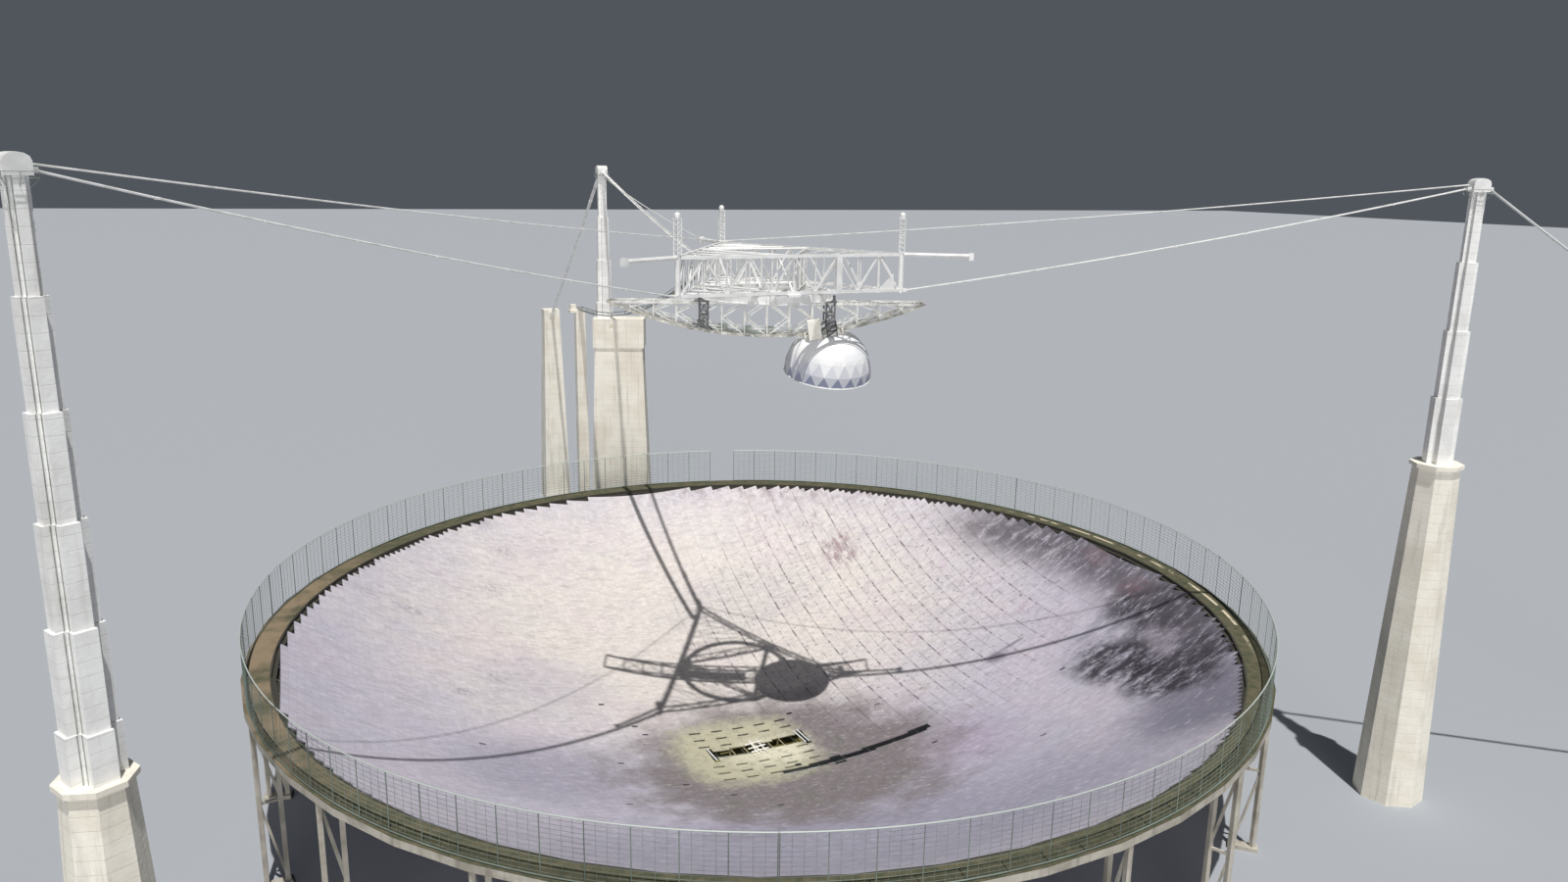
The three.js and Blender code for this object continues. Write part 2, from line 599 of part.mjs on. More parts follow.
function addDome() {
  const z = SPHERE_Z - ARM.rail - DOME.drop;
  const ball = (radius) => {
    const geometry = new THREE.SphereGeometry(radius, 24, 13).rotateX(Math.PI / 2);
    return solid(geometry.translate(0, 0, z));
  };
  const wide = 3 * DOME.radius;
  const under = (level) => block(0, 0, z - 2 * DOME.radius, z + level, wide, wide);
  const foot = new THREE.BoxGeometry(4 * DOME.radius, 4 * DOME.radius, 2 * DOME.radius);
  foot.translate(0, 0, -DOME.radius - DOME_FOOT.below).rotateX(radians(DOME_FOOT.lean));
  foot.rotateY(radians(DOME_FOOT.turn)).translate(0, 0, z);
  const outside = ball(DOME.radius).intersect(under(DOME.cutTop));
  const inside = ball(DOME.radius - DOME.wall).intersect(under(DOME.cutTop - DOME.wall));
  addPiece("dome", swung(outside.subtract(inside).subtract(solid(foot))), "dome");
}

// Beams on the dome's flat roof, four claws whose rollers run on the rails, and the equipment house
function addCarriage() {
  const roof = SPHERE_Z - ARM.rail - DOME.drop + DOME.cutTop;
  const low = roof + GAP;
  const { half, beam, wheel } = CARRIAGE;
  const claw = ARM.side + ARM.chord / 2 + FLANGE.out + RUNNING_GAP + beam / 4;
  const facet = Math.cos(Math.asin(ARM.half / ARM.rail) / RAIL_STEPS);
  const runner = (ARM.rail - FLANGE.thick) * facet - GAP;
  const across = (x, side, wide, high) => {
    const z = low + high / 2;
    return bar(point(x, -claw - side, z), point(x, claw, z), wide, high);
  };
  const pieces = [-half, 0, half].map((x) => across(x, 0, beam, beam));
  for (const y of [-ARM.side, ARM.side]) {
    const z = low + beam * 0.45;
    pieces.push(bar(point(-half, y, z), point(half, y, z), beam, beam * 0.9));
  }
  const wheelZ = SPHERE_Z - Math.sqrt((runner - wheel) ** 2 - half ** 2);
  for (const x of [-half, half]) {
    for (const side of [-1, 1]) {
      const y = side * claw;
      pieces.push(block(x, y, low, wheelZ + wheel * 0.7, beam, beam / 2));
      const reach = RUNNING_GAP + FLANGE.out * 0.7 + beam / 4;
      const roller = new THREE.CylinderGeometry(wheel, wheel, reach, 12);
      pieces.push(solid(roller.translate(x, y - (side * reach) / 2, wheelZ)));
    }
  }
  const houseY = -claw - HOUSE.wide / 2;
  pieces.push(block(HOUSE.x, houseY, low, low + HOUSE.high, HOUSE.long, HOUSE.wide));
  pieces.push(across(HOUSE.x, 1, beam, beam * 0.8));
  addPiece("dome_carriage", swung(joined(pieces)), "white");
}

// Thin cables that steady the platform, each from a tower's head to the far corner or its boom
function addSteadyCables() {
  const low = TOWER_TOP + SADDLE.steady;
  for (const { name, angle } of TOWERS) {
    const head = polar(angle, TOWER_R, low);
    if (name === "far") {
      const start = polar(angle, TOWER_R - SADDLE.wide / 2 - 1.5 * M, low - 3.3 * M);
      const end = polar(angle, CORNER_R + BOOM.length + 0.7 * M + 5 * GAP, UPPER_CHORD);
      const clip = block(start.x, start.y, start.z - 0.3 * M, start.z + 0.3 * M, 0.5 * M, 0.5 * M);
      const line = tube(sagging(start, end, 1.2 * M, 4), 0.12 * M, 6);
      addPiece("far_steady_cable", line.add(clip), "cable");
      continue;
    }
    const way = steadyWay(angle);
    const turn = THREE.MathUtils.radToDeg(Math.atan2(way.y, way.x)) - angle;
    const slant = Math.max(Math.abs(Math.cos(radians(turn))), Math.abs(Math.sin(radians(turn))));
    const start = head.addScaledVector(way, -SADDLE.wide / 2 / slant - 8 * GAP);
    const end = polar(90, CORNER_R, UPPER_CHORD + 0.8 * M).addScaledVector(way, LUG + 5 * GAP);
    addPiece(`${name}_steady_cable`, tube(sagging(start, end, 1.2 * M, 4), 0.12 * M, 6), "cable");
  }
}

// The level direction from the far corner to a tower
function steadyWay(angle) {
  return polar(angle, TOWER_R, 0).sub(polar(90, CORNER_R, 0)).normalize();
}

// A footbridge from the far tower's block to a landing on the platform's side, near the far corner
function addFootbridge() {
  const landing = polar(90, CORNER_R, 0).add(polar(240, LANDING.along, 0));
  const outward = (distance, along, z) =>
    landing.clone().add(polar(150, distance, 0)).add(polar(240, along, 0)).setZ(z);
  const near = CHORD / 2 + GAP;
  const deckEnd = outward(near + LANDING.out * 0.7, 0, LANDING.z);
  const start = point(BRIDGE_PIER.x, BRIDGE_PIER.y, BRIDGE_PIER.top + GAP + 0.125 * M);
  const edge = start.clone().add(point(0, -BRIDGE_PIER.wide / 2 - 0.5 * M, 0));
  const line = [start, ...sagging(edge, deckEnd, 9 * M, 7)];
  const [inner, outer] = [near, near + LANDING.out].map((out) => outward(out, 0, LANDING.z));
  const pieces = [bar(inner, outer, LANDING.long, 0.4 * M)];
  for (const along of [-LANDING.long / 2, LANDING.long / 2]) {
    const [low, high] = [LOWER_CHORD - CHORD / 2, UPPER_CHORD + CHORD / 2];
    const post = outward(near + 0.2 * M, along, 0);
    pieces.push(block(post.x, post.y, low, high, 0.4 * M, 0.4 * M, 150));
  }
  for (let i = 0; i < line.length - 1; i++) pieces.push(bar(line[i], line[i + 1], 1.8 * M, 0.25 * M));
  for (const side of [-0.85 * M, 0.85 * M]) {
    const foot = line.map((p) => p.clone().add(point(side, 0, 0)));
    const rail = foot.map((p) => p.clone().add(point(0, 0, 1.4 * M)));
    foot.forEach((p, i) => {
      if (i < foot.length - 1) pieces.push(bar(p, rail[i].clone().add(point(0, 0, 0.09 * M)), 0.2 * M));
      if (i > 0 && i < foot.length - 1) pieces.push(bar(rail[i - 1], rail[i], 0.18 * M));
    });
  }
  addPiece("footbridge", joined(pieces), "galvanised");
}

// A tapering pier beside the far tower carries the footbridge's start and a small hut
function addBridgePier() {
  const { x, y, top, wide, foot } = BRIDGE_PIER;
  const pier = frustum(point(x, y, 0), FLOOR, top - 1 * M, foot / 2, wide / 2, 4, 0);
  const cap = block(x - 1.4 * M, y, top - 1.2 * M, top, wide + 2.8 * M, wide);
  const hut = block(x - 3.2 * M, y, top - 0.1 * M, top + 2.6 * M, 2.6 * M, 3 * M);
  addPiece("footbridge_pier", joined([pier, cap, hut]), "concrete");
}

// The light steel frame in the slot at the middle of the dish, on its long pad
function addCentreFrame() {
  const { length, width, turn } = SLOT_CENTRE;
  const aside = width / 2 + 1.1 * M;
  const beamWide = 0.4 * M;
  const firstRing = CENTRE_R / CENTRE_RINGS;
  const toBeam = inSlot(0, aside, 0).dot(polar(turn + 90, 1, 0));
  const nearest = Math.abs(toBeam) - beamWide / 2; // from the dish's middle to the nearer beam
  const beamTop = face(0) - SHELL + ((face(firstRing) - face(0)) * nearest) / firstRing - GAP;
  const pad = CENTRE_PAD;
  const pieces = [block(pad.x, pad.y, FLOOR, FLOOR + pad.high, pad.long, pad.wide)];
  const reach = length / 2 - 5.8 * M;
  for (const side of [-aside, aside]) {
    const beamZ = beamTop - 0.25 * M;
    pieces.push(bar(inSlot(-reach, side, beamZ), inSlot(reach, side, beamZ), beamWide, 0.5 * M));
    for (const along of [-0.9, 0, 0.9]) {
      const foot = inSlot(along * reach, side, 0);
      pieces.push(block(foot.x, foot.y, FLOOR + 0.3 * M, beamTop - 0.2 * M, 0.5 * M, 0.5 * M));
    }
  }
  const tieZ = beamTop - 0.3 * M;
  for (const along of [-0.9, -0.45, 0, 0.45, 0.9]) {
    const [a, b] = [-aside, aside].map((side) => inSlot(along * reach, side, tieZ));
    pieces.push(bar(a, b, 0.3 * M, 0.34 * M));
  }
  addPiece("centre_frame", joined(pieces), "galvanised");
}

addReflector();
addRimFrame();
addFence();
for (const tower of TOWERS) {
  addTower(tower);
  if (tower.name === "far") addFarPier(tower);
  else addPier(tower);
  addMainCables(tower);
  addBackstays(tower);
  addCorner(tower);
}
TOWERS.forEach(({ angle }, i) => addPlatformSide(i + 1, angle));
addTrack();
addArm();
addHanger(1, -1);
addHanger(2, 1);
addDome();
addCarriage();
addSteadyCables();
addFootbridge();
addBridgePier();
addCentreFrame();

// The model stands on the floor
model.position.z = -FLOOR;

export default model;
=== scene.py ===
from functools import partial
from math import acos, atan2, cos, degrees, pi, radians, sin, sqrt

import bmesh
import bpy
from mathutils import Matrix, Vector


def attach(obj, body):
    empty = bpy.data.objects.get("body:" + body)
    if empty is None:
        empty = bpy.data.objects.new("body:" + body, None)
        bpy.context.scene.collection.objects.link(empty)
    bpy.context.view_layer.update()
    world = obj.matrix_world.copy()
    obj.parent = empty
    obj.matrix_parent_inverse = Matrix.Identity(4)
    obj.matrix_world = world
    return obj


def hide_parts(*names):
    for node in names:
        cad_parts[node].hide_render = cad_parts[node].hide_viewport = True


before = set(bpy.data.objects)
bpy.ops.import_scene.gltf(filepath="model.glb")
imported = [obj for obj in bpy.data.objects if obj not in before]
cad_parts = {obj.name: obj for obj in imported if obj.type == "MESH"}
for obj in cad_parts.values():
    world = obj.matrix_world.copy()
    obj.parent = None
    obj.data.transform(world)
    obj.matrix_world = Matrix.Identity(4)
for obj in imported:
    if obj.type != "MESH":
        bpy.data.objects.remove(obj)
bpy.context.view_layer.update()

# The view and the light
# Distances are the real telescope's metres from the middle of the rim's plane, times M, because
# this is a 1:20 model. The camera stands high over the near rim, and the sun is behind it.
M = 0.05
RIM = 2.6  # the rim's plane above the floor


def spot(x, y, z):
    return Vector((x * M, y * M, z * M + RIM))


def around(angle, radius, z):
    return spot(radius * cos(radians(angle)), radius * sin(radians(angle)), z)


view_turn, view_distance, view_height = -22.36, 362.2, 143.2
yaw, pitch, roll = -0.98, 13.34, 0.93
focal_pixels, picture_width, sensor_width = 1161, 1600, 36
farthest_seen = 400

scene = bpy.context.scene
camera_data = bpy.data.cameras.new("camera")
camera_data.sensor_width = sensor_width
camera_data.lens = sensor_width * focal_pixels / picture_width
camera_data.clip_end = farthest_seen
camera = bpy.data.objects.new("camera", camera_data)
stand = Matrix.Translation(around(view_turn - 90, view_distance, view_height))
aimed = Matrix.Rotation(radians(yaw + view_turn), 4, "Z") @ Matrix.Rotation(radians(90 - pitch), 4, "X")
camera.matrix_world = stand @ aimed @ Matrix.Rotation(radians(roll), 4, "Z")
scene.collection.objects.link(camera)
scene.camera = camera

# A sun and a wide, low fill: the way to each, its strength and its width in degrees
lights = {"sun": ((-0.046, -0.283, 0.958), 3.26, 0.6), "fill": ((-0.38, -0.92, 0.1), 1.25, 25)}
for name, (way, strength, width) in lights.items():
    light = bpy.data.lights.new(name, "SUN")
    light.energy = strength
    light.angle = radians(width)
    light.color = (1.0, 0.985, 0.96)
    lamp = bpy.data.objects.new(name, light)
    lamp.matrix_world = Vector(way).to_track_quat("Z", "Y").to_matrix().to_4x4()
    scene.collection.objects.link(lamp)

world = bpy.data.worlds.new("studio")
scene.world = world
world.use_nodes = True
studio = world.node_tree.nodes["Background"]
studio.inputs["Color"].default_value = (0.55, 0.62, 0.72, 1)
studio.inputs["Strength"].default_value = 0.15
scene.view_settings.view_transform = "Standard"


def tone(red, green, blue):
    """A colour read as 0 to 255, as the shader wants it."""
    parts = [c / 255 for c in (red, green, blue)]
    return (*[c / 12.92 if c <= 0.04045 else ((c + 0.055) / 1.055) ** 2.4 for c in parts], 1)


def add(tree, kind, inputs=None, **settings):
    """A node with its settings, and its inputs as plain values or as links."""
    node = tree.nodes.new(kind)
    for key, value in settings.items():
        setattr(node, key, value)
    for key, value in (inputs or {}).items():
        if isinstance(value, bpy.types.NodeSocket):
            tree.links.new(value, node.inputs[key])
        else:
            node.inputs[key].default_value = value
    return node


def surface(name, roughness, metallic=0.0):
    """A new material, its tree and its shader."""
    made = bpy.data.materials.new(name)
    made.use_nodes = True
    shader = made.node_tree.nodes["Principled BSDF"]
    shader.inputs["Roughness"].default_value = roughness
    shader.inputs["Metallic"].default_value = metallic
    return made, made.node_tree, shader


def plain_mesh(name, points, faces):
    mesh = bpy.data.meshes.new(name)
    mesh.from_pydata([tuple(p) for p in points], [], list(faces))
    made = bpy.data.objects.new(name, mesh)
    scene.collection.objects.link(made)
    return made


floor_reach = 260
floor_corners = [(x * floor_reach, y * floor_reach, 0) for x, y in ((-1, -1), (1, -1), (1, 1), (-1, 1))]
floor = plain_mesh("floor", floor_corners, [(0, 1, 2, 3)])
floor_paint, _, shader = surface("floor_paint", 0.95)
shader.inputs["Base Color"].default_value = tone(168, 172, 178)
floor.data.materials.append(floor_paint)

# The reflector
# About 38,000 thin perforated aluminium panels, 2 m by 1 m, lie in straight rows on a net of cables
# in the shape of a sphere, so the edge is stepped. Panels are missing in slots and single holes.
SPHERE_R = 265.2
PLANE_R = 152.4  # where the sphere meets the rim's plane
SPHERE_Z = sqrt(SPHERE_R**2 - PLANE_R**2)
PANEL_LONG, PANEL_WIDE = 2.0, 1.0


def mixed(tree, amount, first, second, blend="MIX"):
    inputs = {0: amount, 6: first, 7: second}
    return add(tree, "ShaderNodeMix", inputs, data_type="RGBA", blend_type=blend).outputs[2]


def maths(tree, operation, *values):
    return add(tree, "ShaderNodeMath", dict(enumerate(values)), operation=operation).outputs[0]


def vectors(tree, operation, *values):
    node = add(tree, "ShaderNodeVectorMath", dict(enumerate(values)), operation=operation)
    return node.outputs["Value" if operation in ("LENGTH", "DOT_PRODUCT") else "Vector"]


def scaled(tree, vector, factor):
    inputs = {0: vector, "Scale": factor}
    return add(tree, "ShaderNodeVectorMath", inputs, operation="SCALE").outputs["Vector"]


def stretched(tree, where, x, y, z):
    return vectors(tree, "MULTIPLY", where, (x, y, z))


def split(tree, vector):
    """The x, y and z of a vector."""
    return add(tree, "ShaderNodeSeparateXYZ", {0: vector}).outputs


def real_metres(tree):
    """Object coordinates in the real telescope's metres, with the rim's plane at 0."""
    place = add(tree, "ShaderNodeTexCoord").outputs["Object"]
    return scaled(tree, vectors(tree, "SUBTRACT", place, (0, 0, RIM)), 1 / M)


def eased(tree, value, low, high):
    """0 below low and 1 above high, with a smooth step between them; low may be the larger one."""
    inputs = {0: value, 1: low, 2: high}
    return add(tree, "ShaderNodeMapRange", inputs, interpolation_type="SMOOTHSTEP").outputs[0]


def noise(tree, where, scale, detail, rough):
    inputs = {"Vector": where, "Scale": scale, "Detail": detail, "Roughness": rough}
    return add(tree, "ShaderNodeTexNoise", inputs).outputs[0]


def cloud(tree, where, scale, low, high, detail=4.0, rough=0.55):
    """Soft blotches: noise of so many to a real metre, stepped between two levels."""
    return eased(tree, noise(tree, where, scale, detail, rough), low, high)


def patch(tree, where, x, y, reach_x, reach_y, inner, outer, ragged=0.0):
    """1 inside an oval on the dish and 0 outside, with a ragged edge."""
    any_height = 1e6
    off = vectors(tree, "SUBTRACT", where, (x, y, 0))
    far = vectors(tree, "LENGTH", vectors(tree, "DIVIDE", off, (reach_x, reach_y, any_height)))
    if ragged:
        wobble = maths(tree, "SUBTRACT", noise(tree, where, 0.07, 5.0, 0.65), 0.5)
        far = maths(tree, "ADD", far, maths(tree, "MULTIPLY", wobble, ragged))
    return eased(tree, far, outer, inner)


def both(tree, first, second):
    """The place that two masks share."""
    return maths(tree, "MULTIPLY", first, second)


def layered(tree, colour, *layers):
    """Lays each tone over the colour, through its mask and at its strength."""
    for mask, strength, over in layers:
        colour = mixed(tree, maths(tree, "MULTIPLY", mask, strength), colour, over)
    return colour


def plate_rows(tree, flat, first, second, seam, seam_width, long, wide, softness=0.1):
    """Plates of two tones in straight rows, with seams between them: a colour and a mask of the seams."""
    inputs = {"Vector": flat, "Color1": first, "Color2": second, "Mortar": seam, "Scale": 1.0}
    inputs |= {"Mortar Size": seam_width, "Mortar Smooth": softness, "Brick Width": long, "Row Height": wide}
    return add(tree, "ShaderNodeTexBrick", inputs, offset=0.0).outputs


def bump(tree, shader, height, distance, strength):
    node = add(tree, "ShaderNodeBump", {"Height": height, "Distance": distance, "Strength": strength})
    tree.links.new(node.outputs[0], shader.inputs["Normal"])


panel_face, tree, shader = surface("panel_face", 0.6)
where = real_metres(tree)
flat = stretched(tree, where, 1, 1, 0)
across = split(tree, where)
from_middle = vectors(tree, "LENGTH", flat)
oval = partial(patch, tree, where)


def blotches(scale, low, high, detail=4.0, rough=0.55, along=None):
    """Noise on the panels, as seen from above; along squeezes it in x and y."""
    place = stretched(tree, flat, *along, 1) if along else flat
    return cloud(tree, place, scale, low, high, detail, rough)


# Broad tones: bright beyond the middle as painted light reflected off the far side, lilac grey nearer, brown
# grey dirt round the middle
dirt = both(tree, oval(0, -22, 66, 56, 0.5, 1.1, 0.9), blotches(0.35, 0.5, 0.62, 8.0, 0.8))
specks = both(tree, oval(4, -24, 70, 56, 0.4, 1.1, 1.2), blotches(0.8, 0.52, 0.64, 6.0, 0.8))
moss = both(tree, oval(-4, -26, 56, 44, 0.4, 1.1, 0.9), blotches(0.12, 0.48, 0.66, 6.0, 0.7))
colour = layered(
    tree,
    # The bright oval beyond the middle is painted light.
    mixed(tree, oval(4, 72, 142, 95, 0.35, 1.2, 0.5), tone(192, 188, 201), tone(223, 215, 208)),
    (blotches(0.03, 0.45, 0.7), 0.3, tone(216, 198, 206)),
    (oval(26, 86, 40, 22, 0.3, 1.2, 0.6), 0.45, tone(196, 192, 190)),
    (oval(-66, 42, 28, 20, 0.3, 1.2, 0.6), 0.45, tone(184, 178, 190)),
    (blotches(0.06, 0.5, 0.74, 8.0, 0.75), 0.3, tone(184, 178, 194)),
    (oval(-16, -98, 116, 56, 0.4, 1.15, 0.5), 0.9, tone(158, 155, 173)),
    (oval(54, -46, 34, 30, 0.1, 1.0, 0.6), 0.6, tone(166, 150, 176)),
    (oval(102, -102, 28, 24, 0.4, 1.2, 0.6), 0.85, tone(120, 117, 134)),
    (oval(-78, -22, 38, 30, 0.3, 1.2, 0.6), 0.75, tone(156, 152, 168)),
    (oval(0, -25, 60, 54, 0.6, 1.15, 0.9), 0.95, tone(122, 114, 114)),
    (dirt, 0.4, tone(112, 104, 106)),
    (specks, 0.5, tone(188, 166, 180)),
    (moss, 0.6, tone(112, 116, 102)),
)
# Fine dark and pale grain all over, and a few faint marks on the bright left side
grain = (0.6, 1.1)
colour = layered(
    tree,
    colour,
    (blotches(0.42, 0.48, 0.34, 6.0, 0.75, grain), 0.26, tone(132, 124, 138)),
    (blotches(0.42, 0.53, 0.66, 6.0, 0.75, grain), 0.26, tone(240, 236, 240)),
)
for x, y in ((-75, 97), (-67, 118), (-109, 74), (-73, 131), (-82, 43), (-96, 30), (-123, 76)):
    mark = both(tree, oval(x, y, 6, 4, 0.2, 1.2, 1.2), blotches(0.5, 0.44, 0.6, 8.0, 0.8))
    colour = layered(tree, colour, (mark, 0.6, tone(140, 134, 148)))
# Each panel has its own shade, with a dark joint round it, and grime follows the rows
light_panel, dark_panel, joint = (1.06, 1.06, 1.06, 1), (0.9, 0.9, 0.9, 1), (0.72, 0.7, 0.72, 1)
rows = plate_rows(tree, flat, dark_panel, light_panel, joint, 0.03, PANEL_LONG, PANEL_WIDE, 0.3)
colour = mixed(tree, 1.0, colour, rows[0], "MULTIPLY")
colour = layered(tree, colour, (blotches(0.3, 0.5, 0.78, 5.0, 0.7, (0.25, 0.9)), 0.4, tone(146, 138, 148)))
# Broken dark lines and specks over the net's cables, two lines to each 10.2 m
far_right = oval(70, 50, 95, 95, 0.5, 1.1, 0.4)
lines_apart = 10.2
for start, strength in ((7.3, 0.95), (2.2, 0.45)):
    off = maths(tree, "PINGPONG", maths(tree, "SUBTRACT", across[0], start), lines_apart / 2)
    dashes = maths(tree, "MULTIPLY", blotches(0.3, 0.46, 0.6, 4.0, 0.7, (0.5, 0.8)), 0.75)
    line = both(tree, eased(tree, off, 0.46, 0.14), maths(tree, "ADD", dashes, 0.25))
    colour = layered(tree, colour, (both(tree, line, far_right), strength, tone(104, 92, 102)))
# A patch of rusty panels beyond the middle, and right of it a dark mark and a thin line of painted shadow
# from the right main cable
rusty = both(tree, oval(75, 95, 10, 13, 0.4, 1.0, 0.8), blotches(0.5, 0.4, 0.6, along=(1, 0.3)))
colour = layered(
    tree,
    colour,
    (both(tree, blotches(0.5, 0.6, 0.65, 3.0, 0.8), far_right), 0.75, tone(96, 84, 96)),
    (both(tree, blotches(0.11, 0.58, 0.7, 4.0, 0.8), far_right), 0.35, tone(196, 160, 190)),
    (blotches(0.3, 0.68, 0.74, 3.0, 0.8), 0.5, tone(120, 110, 120)),
    (rusty, 0.7, tone(132, 96, 108)),
    # Painted shadow of the right main cable: a dark mark and a thin line.
    (oval(92, -5, 6, 5, 0.3, 1.0, 1.2), 0.7, tone(96, 90, 106)),
    (oval(99, -3, 9, 1.2, 0.4, 1.0, 0.5), 0.6, tone(96, 90, 106)),
)
# The mouldy right side: dark blots in a grey haze, and a grey band along the far right edge
haze = both(tree, oval(126, -62, 32, 58, 0.4, 1.1, 0.8), blotches(0.16, 0.42, 0.58, 10.0, 0.8, (0.45, 1.0)))
colour = layered(tree, colour, (haze, 0.6, tone(100, 95, 110)))
mottled = blotches(0.22, 0.36, 0.54, 10.0, 0.82, (0.5, 1.0))
blots = ((112, -47, 13, 16), (111, -75, 13, 17), (127, -76, 9, 15), (137, -37, 11, 24))
for x, y, reach_x, reach_y in blots:
    blot = both(tree, oval(x, y, reach_x, reach_y, 0.6, 1.3, 1.0), mottled)
    colour = layered(tree, colour, (blot, 0.95, tone(40, 37, 46)))
band = both(tree, eased(tree, from_middle, 126, 144), oval(150, 0, 85, 96, 0.55, 1.1, 0.4))
band = both(tree, band, blotches(0.2, 0.3, 0.52, 10.0, 0.82, (0.45, 1.0)))
# Fine pale streaks along the rows are painted glints, and dark streaks with them break the dark places up
streaks = blotches(0.36, 0.53, 0.62, 9.0, 0.82, (0.4, 1.1))
dark_streaks = blotches(0.36, 0.47, 0.38, 9.0, 0.82, (0.4, 1.1))
mould_side, right_half = oval(132, -28, 38, 104, 0.6, 1.1, 0.4), oval(98, 12, 52, 74, 0.4, 1.1, 0.6)
colour = layered(
    tree,
    colour,
    (band, 0.9, tone(80, 75, 84)),
    # Painted glints: pale streaks over the mouldy side and the right half.
    (both(tree, streaks, mould_side), 0.8, tone(186, 180, 194)),
    (both(tree, streaks, right_half), 0.3, tone(226, 218, 228)),
    (both(tree, dark_streaks, right_half), 0.3, tone(142, 132, 146)),
)
# Two rusty spots in the band, and smudges and dirt along the far edge
for x, y in ((147, 10), (143, -17)):
    rust = both(tree, oval(x, y, 5, 10, 0.2, 1.2, 1.0), blotches(0.6, 0.42, 0.58, 8.0, 0.8))
    colour = layered(tree, colour, (rust, 0.5, tone(134, 98, 100)))
smudges = both(tree, oval(64, 124, 26, 24, 0.4, 1.1, 0.8), blotches(0.4, 0.52, 0.66, 8.0, 0.8, (1, 0.25)))
far_edge = both(tree, eased(tree, from_middle, 140, 151), blotches(0.2, 0.45, 0.62, 5.0, 0.7))
far_edge = both(tree, far_edge, oval(60, 140, 75, 50, 0.5, 1.1, 0.4))
colour = layered(tree, colour, (smudges, 0.6, tone(116, 98, 110)), (far_edge, 0.6, tone(128, 112, 116)))
# The yellow green square that the light panels make in the middle, with a soft ragged edge
square_half, square_shift = 22.0, 10.0
off_x, off_y = (
    maths(tree, "DIVIDE", maths(tree, "ABSOLUTE", maths(tree, "ADD", way, square_shift)), square_half)
    for way in (across[0], across[1])
)
corner = add(tree, "ShaderNodeCombineXYZ", {0: off_x, 1: off_y}).outputs[0]
square = maths(tree, "ADD", maths(tree, "MAXIMUM", off_x, off_y), vectors(tree, "LENGTH", corner))
square = maths(tree, "ADD", square, maths(tree, "MULTIPLY", noise(tree, flat, 0.22, 8.0, 0.8), 2.2))
pale = mixed(tree, oval(0, -13, 24, 14, 0.2, 1.1, 0.9), tone(196, 192, 164), tone(234, 229, 204))
pale = layered(tree, pale, (blotches(0.3, 0.47, 0.62, 8.0, 0.8), 0.6, tone(156, 152, 128)))
colour = layered(tree, colour, (eased(tree, square, 3.75, 2.6), 0.9, pale))
tree.links.new(colour, shader.inputs["Base Color"])
bump(tree, shader, rows[1], 0.004, 0.25)

panel_back, tree, shader = surface("panel_back", 0.7, 0.3)
where = real_metres(tree)
dull = mixed(tree, cloud(tree, where, 0.05, 0.35, 0.7), tone(150, 148, 152), tone(118, 116, 116))
grey_plate, clear_plate, seam = (0.9, 0.9, 0.9, 1), (1, 1, 1, 1), (0.5, 0.5, 0.5, 1)
plate_side = 6.0
flat = stretched(tree, where, 1, 1, 0)
seams = plate_rows(tree, flat, grey_plate, clear_plate, seam, 0.08, plate_side, plate_side)
tree.links.new(mixed(tree, 1.0, dull, seams[0], "MULTIPLY"), shader.inputs["Base Color"])


def new_tree(name, inputs, takes_mesh=False):
    """A Geometry Nodes tree with named inputs. Returns the tree and its input node's outputs."""
    tree = bpy.data.node_groups.new(name, "GeometryNodeTree")
    kinds = {float: "NodeSocketFloat", int: "NodeSocketInt", tuple: "NodeSocketVector"}
    if takes_mesh:
        tree.interface.new_socket(name="Geometry", in_out="INPUT", socket_type="NodeSocketGeometry")
    for label, value in inputs.items():
        socket = tree.interface.new_socket(name=label, in_out="INPUT", socket_type=kinds[type(value)])
        socket.default_value = value
    tree.interface.new_socket(name="Geometry", in_out="OUTPUT", socket_type="NodeSocketGeometry")
    return tree, tree.nodes.new("NodeGroupInput").outputs


def close_tree(tree, geometry, paint):
    """Ends a tree in Realize Instances and Set Material."""
    real = add(tree, "GeometryNodeRealizeInstances", {"Geometry": geometry})
    painted = add(tree, "GeometryNodeSetMaterial", {"Geometry": real.outputs[0], "Material": paint})
    add(tree, "NodeGroupOutput", {0: painted.outputs[0]})


def joined(tree, *parts):
    whole = add(tree, "GeometryNodeJoinGeometry")
    for part in parts:
        tree.links.new(part, whole.inputs[0])
    return whole.outputs[0]


def grown(name, tree, start=None, **sizes):
    """Runs a tree once and keeps its result as a plain mesh in a new object."""
    holder = bpy.data.objects.new(name + "_maker", start or bpy.data.meshes.new(name + "_start"))
    scene.collection.objects.link(holder)
    modifier = holder.modifiers.new("maker", "NODES")
    modifier.node_group = tree
    for item in tree.interface.items_tree:
        if item.in_out == "INPUT" and item.name in sizes:
            modifier[item.identifier] = sizes[item.name]
    found = holder.evaluated_get(bpy.context.evaluated_depsgraph_get())
    mesh = bpy.data.meshes.new_from_object(found)
    holder.modifiers.remove(modifier)
    bpy.data.objects.remove(holder)
    mesh.name = name
    made = bpy.data.objects.new(name, mesh)
    scene.collection.objects.link(made)
    return made


def settle(piece, body, slot, *nodes):
    """The piece rides on its body and stands for the CAD nodes given, which it hides; the slot is not used.
    """
    if nodes:
        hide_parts(*nodes)
    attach(piece, body)


